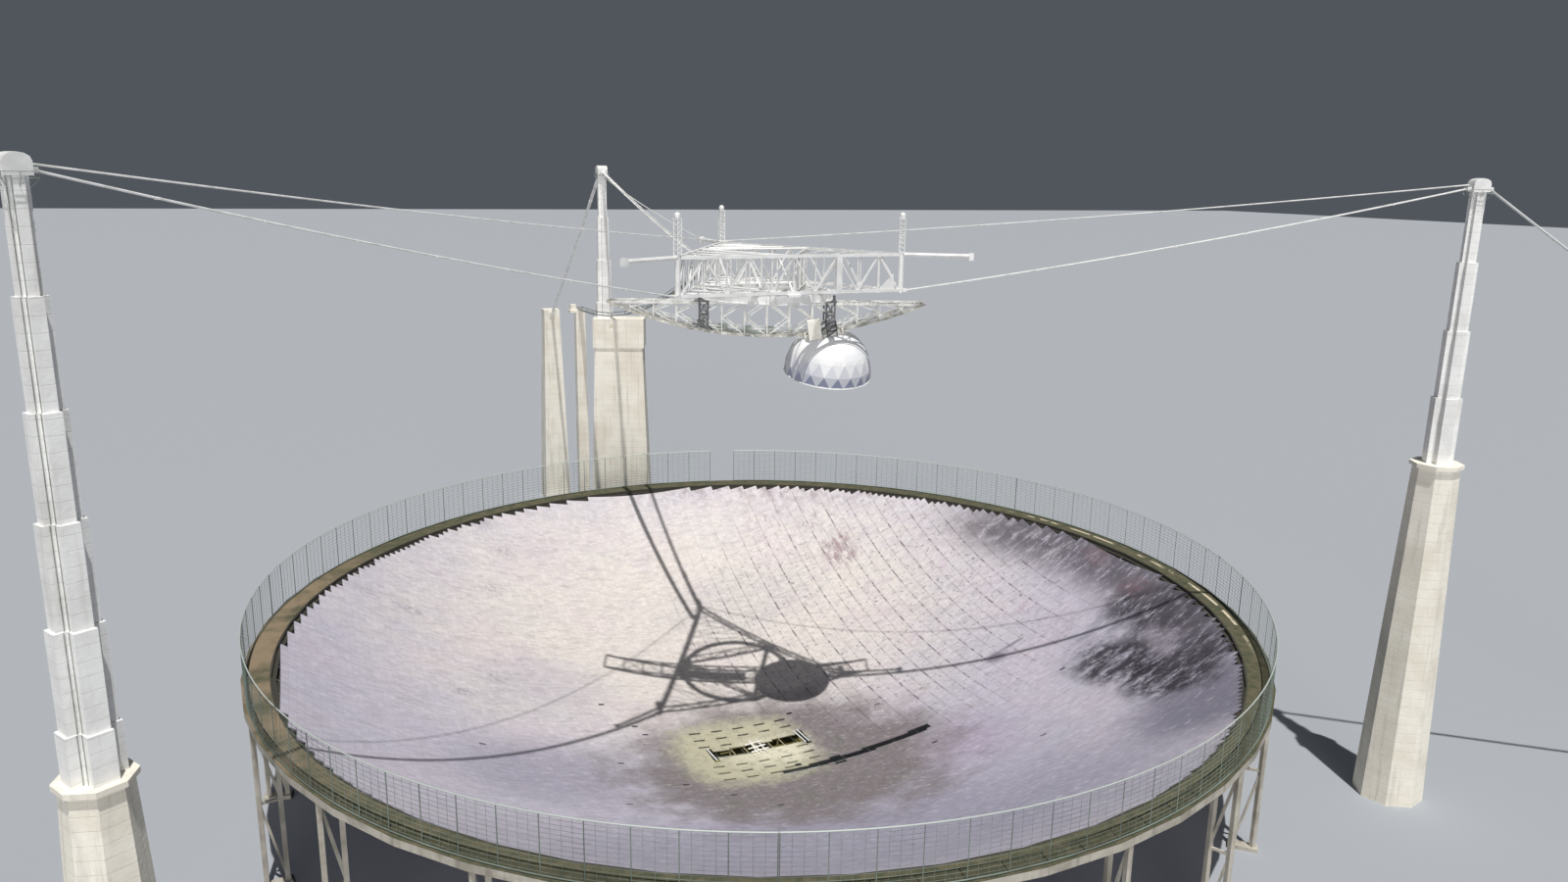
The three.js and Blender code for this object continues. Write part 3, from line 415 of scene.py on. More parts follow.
# A grid of panels, one past the edge each way, loses those outside the rim and in the holes. What is
# left is laid on the sphere and thickened downwards.
panel_sizes = {
    "Radius": 150.8,
    "Sphere": SPHERE_R,
    "Panel Long": PANEL_LONG,
    "Panel Wide": PANEL_WIDE,
    "Thickness": 0.3,
    "Holes": 0.0003,
    "Seed": 4,
}
panels, sizes = new_tree("panels", panel_sizes)
worked = partial(maths, panels)
grid = {}
for axis, side in (("X", sizes["Panel Long"]), ("Y", sizes["Panel Wide"])):
    half = worked("CEIL", worked("DIVIDE", worked("ADD", sizes["Radius"], 3.0), side))
    count = worked("MULTIPLY", half, 2.0)
    grid[f"Size {axis}"] = worked("MULTIPLY", count, side)
    grid[f"Vertices {axis}"] = worked("ADD", count, 1.0)
sheet = add(panels, "GeometryNodeMeshGrid", grid)
here = add(panels, "GeometryNodeInputPosition").outputs[0]
part = split(panels, here)


def inside(x, y, low_x, high_x, low_y, high_y):
    """1 for the panels whose middles lie within a box."""
    fits = []
    for value, low, high in ((x, low_x, high_x), (y, low_y, high_y)):
        off = worked("ABSOLUTE", worked("SUBTRACT", value, (low + high) / 2))
        fits.append(worked("LESS_THAN", off, (high - low) / 2))
    return worked("MULTIPLY", *fits)


# Pairs of panels stay or go together at the edge. The far shift keeps what is snapped above 0.
pair, shift = 2.0, 1000.0
snapped = vectors(panels, "SNAP", vectors(panels, "ADD", here, (shift, shift, 0.0)), (pair, pair, 1.0))
block = vectors(panels, "SUBTRACT", snapped, (shift - pair / 2, shift - pair / 2, 0.0))
outside = worked("GREATER_THAN", vectors(panels, "LENGTH", block), sizes["Radius"])
# The open slot in the middle with its two cross slots, and the long slot, all turned a little
main_slope, long_slope = 0.061, 0.052
along_main = worked("SUBTRACT", part[1], worked("MULTIPLY", part[0], main_slope))
along_long = worked("SUBTRACT", part[1], worked("MULTIPLY", part[0], long_slope))
gone = inside(part[0], along_main, -19.8, 11.8, -10.3, -4.6)
for x in (-21, 13):
    gone = worked("MAXIMUM", gone, inside(part[0], along_main, x - 1, x + 1, -12.5, -2.5))
for box in ((-3.7, 52.3, -30.1, -26.8), (13.5, 17.5, -31.9, -25.6), (-2.5, 3.5, -25.9, -24.6)):
    gone = worked("MAXIMUM", gone, inside(part[0], along_long, *box))
# Rows of short slots around it, 8 m apart along each row and 5 m from row to row
step_x = worked("FLOORED_MODULO", worked("ADD", part[0], 24.0), 8.0)
step_y = worked("FLOORED_MODULO", worked("ADD", part[1], 32.5), 5.0)
short = worked("MULTIPLY", worked("LESS_THAN", step_x, 4.0), worked("LESS_THAN", step_y, 1.0))
short = worked("MULTIPLY", short, inside(part[0], part[1], -24.5, 12.5, -30.5, 10.5))
clear = worked("SUBTRACT", 1.0, inside(part[0], along_main, -23.5, 15.5, -13.0, -2.0))
gone = worked("MAXIMUM", gone, worked("MULTIPLY", short, clear))
# Single missing panels round the middle, and a few more anywhere
left_holes = ((-49, 30.5), (-39, 9.5), (-53, -10.5), (-37, -28.5), (-59, -42.5), (-25, -39.5))
for x, y in ((15, 10.5), (47, -37.5), *left_holes):
    gone = worked("MAXIMUM", gone, inside(part[0], part[1], x - 1, x + 1, y - 0.5, y + 0.5))
chance = {"Probability": sizes["Holes"], "Seed": sizes["Seed"]}
stray = add(panels, "FunctionNodeRandomValue", chance, data_type="BOOLEAN").outputs[3]
gone = worked("MAXIMUM", worked("MAXIMUM", gone, stray), outside)
lost = {"Geometry": sheet.outputs[0], "Selection": gone}
kept = add(panels, "GeometryNodeDeleteGeometry", lost, domain="FACE")
square = worked("MULTIPLY", sizes["Sphere"], sizes["Sphere"])
drop = worked("SQRT", worked("SUBTRACT", square, vectors(panels, "DOT_PRODUCT", here, here)))
middle = worked("SQRT", worked("SUBTRACT", square, PLANE_R**2))
height = worked("SUBTRACT", middle, drop)
on_sphere = add(panels, "ShaderNodeCombineXYZ", {0: part[0], 1: part[1], 2: height})
in_model = vectors(panels, "ADD", scaled(panels, on_sphere.outputs[0], M), (0, 0, RIM))
bowl = add(panels, "GeometryNodeSetPosition", {"Geometry": kept.outputs[0], "Position": in_model}).outputs[0]
downwards = {"Mesh": bowl, "Offset Scale": worked("MULTIPLY", sizes["Thickness"], -M), "Individual": False}
under = add(panels, "GeometryNodeExtrudeMesh", downwards)
turned_over = add(panels, "GeometryNodeFlipFaces", {"Mesh": under.outputs[0]})
two_sides = joined(panels, bowl, turned_over.outputs[0])
weld_reach = 0.0005
sealed = add(panels, "GeometryNodeMergeByDistance", {"Geometry": two_sides, "Distance": weld_reach})
close_tree(panels, sealed.outputs[0], panel_face)

reflector = grown("reflector_panels", panels)
reflector.data.materials.append(panel_back)
for face in reflector.data.polygons:
    if face.normal.z < 0.2:
        face.material_index = 1
settle(reflector, "structure", "panels", "reflector_centre", *[f"reflector_sector_{i}" for i in range(1, 9)])

# The net under the panels
# Steel cables hang from ring beam to ring beam in straight lines, and cross at right angles. They
# carry the panels from below and hold them to the sphere.


def two_tone(name, roughness, metallic, fresh, worn, clouds, rust=None):
    """Painted or galvanised steel in two near tones, with specks of rust where they are given."""
    made, tree, shader = surface(name, roughness, metallic)
    where = real_metres(tree)
    coat = mixed(tree, cloud(tree, where, *clouds), fresh, worn)
    if rust:
        specks, strength, over = rust
        coat = layered(tree, coat, (cloud(tree, where, *specks), strength, over))
    tree.links.new(coat, shader.inputs["Base Color"])
    return made


def swept(tree, path, sides, radius):
    """A capped bar or wire along a curve."""
    section = add(tree, "GeometryNodeCurvePrimitiveCircle", {"Resolution": sides, "Radius": radius})
    shape = {"Curve": path, "Profile Curve": section.outputs[0], "Fill Caps": True}
    return add(tree, "GeometryNodeCurveToMesh", shape).outputs[0]


def bar_tree(name, paint):
    """Round or square bars along the edges of a mesh; edges that share a point run on as one bar."""
    tree, sizes = new_tree(name, {"Radius": 0.01, "Sides": 4}, takes_mesh=True)
    path = add(tree, "GeometryNodeMeshToCurve", {"Mesh": sizes["Geometry"]})
    bars = swept(tree, path.outputs[0], sizes["Sides"], sizes["Radius"])
    faceted = add(tree, "GeometryNodeSetShadeSmooth", {"Geometry": bars, "Shade Smooth": False})
    close_tree(tree, faceted.outputs[0], paint)
    return tree


def runs(lines):
    """A mesh of edges: each line is a list of points that one bar follows."""
    points, edges = [], []
    for line in lines:
        first = len(points)
        points += [tuple(p) for p in line]
        edges += [(first + i, first + i + 1) for i in range(len(line) - 1)]
    mesh = bpy.data.meshes.new("runs")
    mesh.from_pydata(points, edges, [])
    return mesh


def bars_piece(name, tree, lines, radius, body, slot, sides=4):
    """Bars of one radius, in real metres, along lines, as a piece that rides on a body."""
    settle(grown(name, tree, runs(lines), Radius=radius * M, Sides=sides), body, slot)


def bowl_height(x, y):
    return SPHERE_Z - sqrt(SPHERE_R**2 - x * x - y * y)


galvanised, bare = tone(160, 168, 162), tone(120, 124, 118)
rust_specks = ((1.1, 0.62, 0.75), 0.4, tone(122, 92, 70))
steel_grey = two_tone("steel_grey", 0.55, 0.6, galvanised, bare, (0.4, 0.4, 0.7), rust_specks)
grey_bars = bar_tree("grey_bars", steel_grey)
net_gap, net_reach, net_cables_each_side = 9.5, 151.5, 15
below, layer_drop, net_step = 0.62, 0.3, 6
lines = []
for i in range(-net_cables_each_side, net_cables_each_side + 1):
    level = i * net_gap
    half = sqrt(net_reach**2 - level**2)
    steps = max(4, int(half / net_step))
    along = [-half + 2 * half * k / steps for k in range(steps + 1)]
    lines.append([spot(x, level, bowl_height(x, level) - below) for x in along])
    lines.append([spot(level, y, bowl_height(level, y) - below - layer_drop) for y in along])
bars_piece("cable_net", grey_bars, lines, 0.09, "structure", "galvanised")

# The ring beam and its legs
# A beam of weathered concrete carries the net's ends. Dry dirt lies on it, and a pale kerb runs round
# its right half. It was cast in place on tall legs, each with two braces.
ring_concrete, tree, shader = surface("ring_concrete", 0.9)
where = real_metres(tree)
bare = mixed(tree, cloud(tree, where, 0.12, 0.35, 0.7), tone(196, 190, 178), tone(160, 154, 142))
streaks = cloud(tree, stretched(tree, where, 1, 1, 0.08), 0.5, 0.5, 0.75)
bare = layered(tree, bare, (streaks, 0.5, tone(112, 106, 96)))
soil = mixed(tree, cloud(tree, where, 0.3, 0.35, 0.65, 6.0, 0.7), tone(102, 96, 74), tone(72, 76, 56))
sandy = both(tree, cloud(tree, where, 0.08, 0.3, 0.6), patch(tree, where, -150, 20, 60, 110, 0.6, 1.0))
soil = layered(tree, soil, (sandy, 0.8, tone(152, 132, 108)))
ring = vectors(tree, "LENGTH", stretched(tree, where, 1, 1, 0))
kerb = both(tree, eased(tree, ring, 156.0, 156.2), eased(tree, ring, 157.2, 157.0))
kerb = both(tree, kerb, cloud(tree, where, 0.09, 0.46, 0.52))
kerb = both(tree, kerb, patch(tree, where, 150, -10, 90, 90, 0.6, 1.0))
soil = mixed(tree, kerb, soil, tone(214, 202, 176))
painted = mixed(tree, eased(tree, split(tree, where)[2], -0.25, -0.1), bare, soil)
# Painted shade: inside the beam's inner edge, its inner face and the ledge are dark.
painted = mixed(tree, eased(tree, ring, 152.9, 152.6), painted, tone(62, 60, 52))
tree.links.new(painted, shader.inputs["Base Color"])
bump(tree, shader, cloud(tree, where, 0.8, 0.2, 0.8, 6.0), 0.01, 0.3)


def repaint(node, paint):
    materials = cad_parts[node].data.materials
    materials.clear()
    materials.append(paint)


for i in range(1, 5):
    repaint(f"rim_frame_{i}", ring_concrete)

# The beam's inner ledge, painted dark as shade, under the edge of the panels, where the net's cables end
ledge_rings = ((152.5, -2.7), (148.4, -4.7), (148.4, -5.1), (152.5, -3.1))
ledge_steps = 180
points = [around(360 * i / ledge_steps, r, z) for r, z in ledge_rings for i in range(ledge_steps)]
faces = []
for k in range(4):
    first, second = k * ledge_steps, (k + 1) % 4 * ledge_steps
    for i in range(ledge_steps):
        j = (i + 1) % ledge_steps
        faces.append((first + i, first + j, second + j, second + i))
ledge = plain_mesh("ring_ledge", points, faces)
ledge.data.materials.append(ring_concrete)
settle(ledge, "structure", "concrete")

# The fence
# A screen of thin galvanised wires between a lower and an upper rail, 15 m high, on posts on the ring
# beam. Every fourth post is a thick one, and one bay is open.
wire_grey, tree, shader = surface("wire_grey", 0.55, 0.2)
where = real_metres(tree)
shade = mixed(tree, cloud(tree, where, 0.05, 0.4, 0.6), tone(138, 150, 141), tone(112, 122, 114))
shade = mixed(tree, eased(tree, split(tree, where)[2], 14.4, 14.7), shade, tone(196, 204, 198))
tree.links.new(shade, shader.inputs["Base Color"])

screen_sizes = {
    "Radius": 159.3,
    "From": 0.0,
    "Sweep": 90.0,
    "Height": 14.9,
    "Wires": 12,
    "Wire": 0.055,
    "Rail": 0.19,
    "Post": 0.13,
    "Thin Post": 0.3,
    "Posts Apart": 4,
    "Bays": 96,
}
screen, sizes = new_tree("screen", screen_sizes)
worked = partial(maths, screen)
arc_sizes = {
    "Resolution": worked("ADD", sizes["Bays"], 1.0),
    "Radius": worked("MULTIPLY", sizes["Radius"], M),
    "Start Angle": worked("RADIANS", sizes["From"]),
    "Sweep Angle": worked("RADIANS", sizes["Sweep"]),
}
arc = add(screen, "GeometryNodeCurveArc", arc_sizes, mode="RADIUS").outputs[0]
rise = worked("MULTIPLY", sizes["Height"], M)


def upwards(height):
    return add(screen, "ShaderNodeCombineXYZ", {2: height}).outputs[0]


def strung(count, first, apart, thickness, sides):
    """Level wires or rails one above the other, all along the arc."""
    ladder = {"Count": count, "Start Location": upwards(first), "Offset": upwards(apart)}
    levels = add(screen, "GeometryNodeMeshLine", ladder).outputs[0]
    stacked = add(screen, "GeometryNodeInstanceOnPoints", {"Points": levels, "Instance": arc})
    loose = add(screen, "GeometryNodeRealizeInstances", {"Geometry": stacked.outputs[0]})
    return swept(screen, loose.outputs[0], sides, maths(screen, "MULTIPLY", thickness, M))


wire_step = worked("DIVIDE", rise, worked("ADD", sizes["Wires"], 1.0))
wires = strung(sizes["Wires"], worked("ADD", wire_step, RIM), wire_step, sizes["Wire"], 3)
rails = strung(2, RIM + 0.3 * M, worked("SUBTRACT", rise, 0.45 * M), sizes["Rail"], 6)
upright = {"Start": (0, 0, RIM), "End": upwards(worked("ADD", rise, RIM))}
stem = add(screen, "GeometryNodeCurvePrimitiveLine", upright).outputs[0]
post = swept(screen, stem, 4, worked("MULTIPLY", sizes["Post"], M))
stood = add(screen, "GeometryNodeInstanceOnPoints", {"Points": arc, "Instance": post}).outputs[0]
# The posts between the main ones are thin
number = add(screen, "GeometryNodeInputIndex").outputs[0]
between = worked("GREATER_THAN", worked("FLOORED_MODULO", number, sizes["Posts Apart"]), 0.5)
loss = worked("MULTIPLY", between, worked("SUBTRACT", 1.0, sizes["Thin Post"]))
share = worked("SUBTRACT", 1.0, loss)
thinned = add(screen, "ShaderNodeCombineXYZ", {0: share, 1: share, 2: 1.0}).outputs[0]
slimmed = {"Instances": stood, "Scale": thinned, "Local Space": True}
posts = add(screen, "GeometryNodeScaleInstances", slimmed).outputs[0]
close_tree(screen, joined(screen, wires, rails, posts), wire_grey)
end_gap = 0.06  # degrees left free at each end of a screen
spans = [(76.9, 163, 96), (163, 249, 96), (249, 335, 96), (335, 384, 56), (384, 433, 56)]
for number, (start, end, bays) in enumerate(spans, 1):
    sweep = end - start - 2 * end_gap
    mesh_screen = grown(f"fence_mesh_{number}", screen, From=start + end_gap, Sweep=sweep, Bays=bays)
    settle(mesh_screen, "structure", "galvanised", f"fence_{number}")

# The towers
# Three cross shaped shafts of reinforced concrete, cast in lifts and stepped in five times, so that the
# form lines show. A steel housing covers the cable saddle, with a railed walkway round it.


def cast_concrete(name, fresh, worn, dirt):
    """Concrete cast in lifts of three metres, with form lines and rain streaks."""
    made, tree, shader = surface(name, 0.85)
    where = real_metres(tree)
    runoff = cloud(tree, stretched(tree, where, 1, 1, 0.06), 0.55, 0.5, 0.72, 5.0, 0.65)
    form_line = eased(tree, maths(tree, "PINGPONG", split(tree, where)[2], 1.5), 0.12, 0.03)
    cast = layered(
        tree,
        mixed(tree, cloud(tree, where, 0.1, 0.35, 0.7), fresh, worn),
        (runoff, dirt, tone(172, 166, 156)),
        (form_line, 0.2, tone(150, 144, 134)),
    )
    tree.links.new(cast, shader.inputs["Base Color"])
    bump(tree, shader, maths(tree, "ADD", form_line, cloud(tree, where, 0.9, 0.2, 0.8)), -0.006, 0.3)
    return made


shaft_concrete = cast_concrete("shaft_concrete", tone(250, 250, 248), tone(234, 233, 231), 0.25)
tower_concrete = cast_concrete("tower_concrete", tone(250, 245, 232), tone(236, 229, 214), 0.4)
clean, dull = tone(246, 246, 244), tone(228, 228, 226)
stains = ((0.9, 0.62, 0.75, 6.0, 0.7), 0.25, tone(176, 166, 152))
white_steel = two_tone("white_steel", 0.5, 0.1, clean, dull, (0.25, 0.35, 0.7), stains)

TOWER_R, TOWER_TOP, SECTION = 207.5, 140.5, 20.2
SHAFT_WIDTHS = [3.9, 5.2, 6.4, 7.7, 9.0, 10.2]
TOWERS = {"far": (90, 72.5), "left": (210, 29.2), "right": (-30, 59.7)}  # place round the dish, foot
walkway_half, walkway_drop, rail_height, bracket_drop, bracket_share = 2.9, 0.4, 1.1, 2.0, 0.62
ladder_half, ladder_off, notch_share = 0.3, 0.45, 0.23


def on_tower(centre, angle, x, y, z):
    """A place given along and across the tower's own way to the dish, and above the rim's plane."""
    turn = Matrix.Rotation(radians(angle), 4, "Z")
    return centre + (turn @ Vector((x * M, y * M, 0))) + Vector((0, 0, z * M))


def in_box_ring(centre, angle, half, z):
    """Four corners of a level square, turned to an angle, closed."""
    corners = [(half, half), (-half, half), (-half, -half), (half, -half), (half, half)]
    return [on_tower(centre, angle, x, y, z) for x, y in corners]


for name, (angle, base) in TOWERS.items():
    repaint(f"{name}_tower_shaft", shaft_concrete)
    repaint(f"{name}_tower_pier", tower_concrete)
    repaint(f"{name}_anchor", tower_concrete)
    repaint(f"{name}_tower_saddle", white_steel)
    centre = around(angle, TOWER_R, 0)
    here = partial(on_tower, centre, angle)
    # The walkway round the head, on brackets from the shaft
    deck_z = TOWER_TOP - walkway_drop
    rails = [in_box_ring(centre, angle, walkway_half, z) for z in (deck_z, deck_z + rail_height)]
    edge = (-walkway_half, 0, walkway_half)
    for x, y in [(a, b) for a in edge for b in edge if (a, b) != (0, 0)]:
        foot = here(x, y, deck_z)
        rails.append([foot, foot + Vector((0, 0, rail_height * M))])
        rails.append([here(x * bracket_share, y * bracket_share, TOWER_TOP - bracket_drop), foot])
    # A ladder in the notch of the cross, section by section, on the side away from the dish
    top = TOWER_TOP
    for wide in SHAFT_WIDTHS:
        low = max(base, top - SECTION)
        if low >= top:
            break
        out = wide * notch_share + ladder_off
        for side in (-ladder_half, ladder_half):
            rails.append([here(out + side, out - side, z) for z in (low, top)])
        top -= SECTION
    bars_piece(f"{name}_tower_ladder_and_rails", grey_bars, rails, 0.07, "structure", "galvanised")

# The cables
# Bundles of steel bridge strand from each tower's saddle to the platform's lower corners, backstays from
# the saddles to the anchors, and thin steadying cables to the far corner.
cable_paint = two_tone("cable_paint", 0.5, 0.0, tone(240, 240, 238), tone(214, 214, 210), (0.35, 0.4, 0.7))
strand_sizes = {
    "Start": (0.0, 0.0, 0.0),
    "End": (1.0, 0.0, 0.0),
    "Aside": (0.0, 1.0, 0.0),
    "Sag": 0.05,
    "Count": 4,
    "Radius": 0.0075,
    "Steps": 28,
}
strand, sizes = new_tree("strand", strand_sizes)
halfway = scaled(strand, vectors(strand, "ADD", sizes["Start"], sizes["End"]), 0.5)
dip = add(strand, "ShaderNodeCombineXYZ", {2: maths(strand, "MULTIPLY", sizes["Sag"], -2.0)}).outputs[0]
low_point = vectors(strand, "ADD", halfway, dip)
bend = {"Resolution": sizes["Steps"], "Start": sizes["Start"], "Middle": low_point, "End": sizes["End"]}
hang = add(strand, "GeometryNodeCurveQuadraticBezier", bend).outputs[0]
half_span = maths(strand, "MULTIPLY", maths(strand, "SUBTRACT", sizes["Count"], 1.0), -0.5)
outermost = scaled(strand, sizes["Aside"], half_span)
beside = {"Count": sizes["Count"], "Start Location": outermost, "Offset": sizes["Aside"]}
row = add(strand, "GeometryNodeMeshLine", beside).outputs[0]
side_by_side = add(strand, "GeometryNodeInstanceOnPoints", {"Points": row, "Instance": hang})
loose = add(strand, "GeometryNodeRealizeInstances", {"Geometry": side_by_side.outputs[0]})
ropes = swept(strand, loose.outputs[0], 8, sizes["Radius"])
close_tree(strand, add(strand, "GeometryNodeSetShadeSmooth", {"Geometry": ropes}).outputs[0], cable_paint)


def box_at(maker, centre, long, wide, high, angle, bevel=0.0):
    """Adds a box, its sizes in real metres, to a bmesh; its long side turns by the angle."""
    turn = Matrix.Rotation(radians(angle), 4, "Z")
    scale = Matrix.Diagonal((long * M, wide * M, high * M, 1))
    made = bmesh.ops.create_cube(maker, size=1, matrix=Matrix.Translation(centre) @ turn @ scale)
    if bevel:
        edges = {e for v in made["verts"] for e in v.link_edges}
        bmesh.ops.bevel(maker, geom=list(edges), offset=bevel * M, segments=2, affect="EDGES")


def solid_from(maker, name, paint):
    mesh = bpy.data.meshes.new(name)
    maker.to_mesh(mesh)
    maker.free()
    mesh.materials.append(paint)
    made = bpy.data.objects.new(name, mesh)
    scene.collection.objects.link(made)
    return made


def along_sag(start, end, sag, t):
    p = start.lerp(end, t)
    p.z -= 4 * sag * M * t * (1 - t)
    return p


STRAND_R, STRANDS_APART, CLAMP = 0.19, 0.42, (0.35, 1.9, 0.5)
CORNER_R, LOWER, UPPER = 42, 107.6, 118.6  # the platform's corners and its chords
SADDLE_HALF, POST_HALF, ANCHOR_HALF, SOCKET_HALF, SEAT_GAP = 2.3, 0.85, 4.5, 0.6, 0.006
SADDLE_Z, ANCHOR_R, STAY_FOOT = TOWER_TOP + 0.9, 335, 62 - 1.6
BOOM_OUT, LUG_OUT, LUG_Z = 21.5 + 0.73, 2.23, 119.4  # the ends of the thin cables, off the far corner


def hung_bundle(label, clamps_label, node, angle, start, end, sag, spans, socket_wide):
    """Four strands side by side, with a clamp between every two spans and a socket at each end."""
    aside = Vector((-sin(radians(angle)), cos(radians(angle)), 0)) * M * STRANDS_APART
    hung = {"Start": start, "End": end, "Aside": aside, "Sag": sag * M, "Count": 4, "Radius": STRAND_R * M}
    ropes = grown(label, strand, **hung)
    fittings = bmesh.new()
    for k in range(1, spans):
        box_at(fittings, along_sag(start, end, sag, k / spans), *CLAMP, angle)
    for seat in (start, end):
        box_at(fittings, seat, 2 * SOCKET_HALF, socket_wide, 1.0, angle, 0.08)
    settle(ropes, "structure", "cable", node)
    settle(solid_from(fittings, clamps_label, white_steel), "structure", "white_paint")


for name, (angle, _) in TOWERS.items():
    inner = around(angle, TOWER_R - SADDLE_HALF - SEAT_GAP - SOCKET_HALF, SADDLE_Z)
    outer = around(angle, CORNER_R + POST_HALF + SEAT_GAP + SOCKET_HALF, LOWER)
    main = (f"{name}_main_strands", f"{name}_main_cable_clamps", f"{name}_main_cables")
    hung_bundle(*main, angle, inner, outer, 1.5, 8, 2.6)
    start = around(angle, TOWER_R + SADDLE_HALF + SEAT_GAP + SOCKET_HALF, SADDLE_Z)
    end = around(angle, ANCHOR_R - ANCHOR_HALF - SEAT_GAP - SOCKET_HALF, STAY_FOOT)
    stay = (f"{name}_backstay_strands", f"{name}_backstay_clamps", f"{name}_backstays")
    hung_bundle(*stay, angle, start, end, 1.0, 6, 2.8)

    # The thin cable, clipped to the far tower's head and run to its boom, or to a lug on the far corner
    if name == "far":
        start, end = around(90, TOWER_R - 3.8, TOWER_TOP - 1.3), around(90, CORNER_R + BOOM_OUT, UPPER)
    else:
        head, lug = around(angle, TOWER_R, TOWER_TOP + 2), around(90, CORNER_R, LUG_Z)
        way = head - lug
        way.z = 0
        way.normalize()
        turn = atan2(way.y, way.x) - radians(angle)
        out = SADDLE_HALF / max(abs(cos(turn)), abs(sin(turn))) + 0.05
        start, end = head - way * out * M, lug + way * LUG_OUT * M
    one_strand = {"Start": start, "End": end, "Sag": 1.2 * M, "Count": 1, "Radius": STRAND_R * M}
    thin = grown(f"{name}_steady_strand", strand, **one_strand)
    settle(thin, "structure", "cable", f"{name}_steady_cable")

# The platform
# A triangle of welded steel trusses, painted white. Three more trusses join the middles of its sides and
# carry the circular track, and light bracing lies in the planes of the upper and lower chords.
SIDES = (("far", "left"), ("left", "right"), ("right", "far"))
white_bars = bar_tree("white_bars", white_steel)
corners = {name: around(angle, CORNER_R, 0) for name, (angle, _) in TOWERS.items()}


def level_to(point, z):
    return Vector((point.x, point.y, z * M + RIM))


def truss(a, b, bays):
    """The lines of a flat truss between two plan points."""

    def at(i, z):
        return level_to(a.lerp(b, i / bays), z)

    lines = [[at(0, z), at(bays, z)] for z in (LOWER, UPPER)]
    for i in range(bays):
        lines.append([at(i, LOWER), at(i + 1, UPPER)] if i % 2 == 0 else [at(i, UPPER), at(i + 1, LOWER)])
        if i:
            lines.append([at(i, LOWER), at(i, UPPER)])
    return lines


heavy, light = [], []
middles = [corners[p].lerp(corners[q], 0.5) for p, q in SIDES]
for i in range(3):
    heavy += truss(middles[i], middles[(i + 1) % 3], 6)
# Bracing in each corner: from side to side at every eighth, and zigzags between
eighth = 0.125
for z in (LOWER, UPPER):
    for name, tip in corners.items():
        side_a, side_b = [corners[n] for n in TOWERS if n != name]
        for i, ahead in [(k, 0) for k in range(1, 5)] + [(k, 1) for k in range(1, 4)]:
            p, q = tip.lerp(side_a, i * eighth), tip.lerp(side_b, (i + ahead) * eighth)
            light.append([level_to(p, z), level_to(q, z)])
bars_piece("platform_inner_trusses", white_bars, heavy, 0.36, "structure", "white_paint")
bars_piece("platform_bracing", white_bars, light, 0.15, "structure", "white_paint")
for i in range(1, 4):
    repaint(f"platform_side_{i}", white_steel)


def heading(a, b):
    return degrees(atan2(b.y - a.y, b.x - a.x))


# The lift shaft on the near side, and gusset plates at the bays of the chords
side_length, first_bay, truss_length, side_bays, lift_share = 72.75, 0.86, 71.04, 10, 0.705
bay_plate = (1.5, 1.0, 1.1)
plates = bmesh.new()
near_a, near_b = corners["left"], corners["right"]
lift = level_to(near_a.lerp(near_b, lift_share), (LOWER + UPPER) / 2)
box_at(plates, lift, 1.9, 1.3, UPPER - LOWER + 0.9, heading(near_a, near_b))
for p, q in SIDES:
    a, b = corners[p], corners[q]
    for i in range(1, side_bays):
        share = (first_bay + truss_length * i / side_bays) / side_length
        for z in (LOWER, UPPER):
            box_at(plates, level_to(a.lerp(b, share), z), *bay_plate, heading(a, b))
platform_plates = solid_from(plates, "platform_plates", white_steel)
# One large triangular plate at the near side's right foot
gusset = bmesh.new()
plate_points = [(0.90, LOWER + 0.4), (0.97, LOWER + 0.4), (0.962, LOWER + 5.0)]
plate_half = Vector((-(near_b - near_a).y, (near_b - near_a).x, 0)).normalized() * 0.3 * M
near, far = (
    [gusset.verts.new(level_to(near_a.lerp(near_b, s), z) + shift) for s, z in plate_points]
    for shift in (plate_half, -plate_half)
)
gusset.faces.new(near)
gusset.faces.new(far[::-1])
for i in range(3):
    j = (i + 1) % 3
    gusset.faces.new((near[i], far[i], far[j], near[j]))
bmesh.ops.recalc_face_normals(gusset, faces=gusset.faces)
gusset_plate = solid_from(gusset, "platform_gusset", white_steel)
for piece in (platform_plates, gusset_plate):
    settle(piece, "structure", "white_paint")

# The corner masts
# Square lattice masts of white steel angle on the three corners, laced with single bars, each under
# a round white cap. They are bolted to the upper chords.
mast_half, mast_low, mast_high, mast_bays = 0.8, UPPER + 0.9, 129.5, 7
for name, (angle, _) in TOWERS.items():
    repaint(f"{name}_corner_mast", white_steel)
    levels = [mast_low + (mast_high - mast_low) * i / mast_bays for i in range(mast_bays + 1)]
    rings = [in_box_ring(corners[name], angle, mast_half, z) for z in levels]
    lacing = []
    for lower, upper in zip(rings, rings[1:]):
        for k in range(4):
            lacing += [[lower[k], upper[k + 1]], upper[k:k + 2]]
    bars_piece(f"{name}_mast_lacing", white_bars, lacing, 0.07, "structure", "white_paint")

# The circular track
# A deep white ring girder of plate, 40 m across, that hangs below the platform. Upright ribs stiffen
# its web on both sides, and the arm's trolleys run on its lower flange.
repaint("ring_track", white_steel)
TRACK_R, web_half, rib_count, rib_low, rib_high = 20, 0.95, 48, 104.3, 106.3
ribs = []
for i in range(rib_count):
    for r in (TRACK_R - web_half, TRACK_R + web_half):
        ribs.append([around(360 * i / rib_count, r, z) for z in (rib_low, rib_high)])
bars_piece("track_ribs", white_bars, ribs, 0.1, "structure", "white_paint")
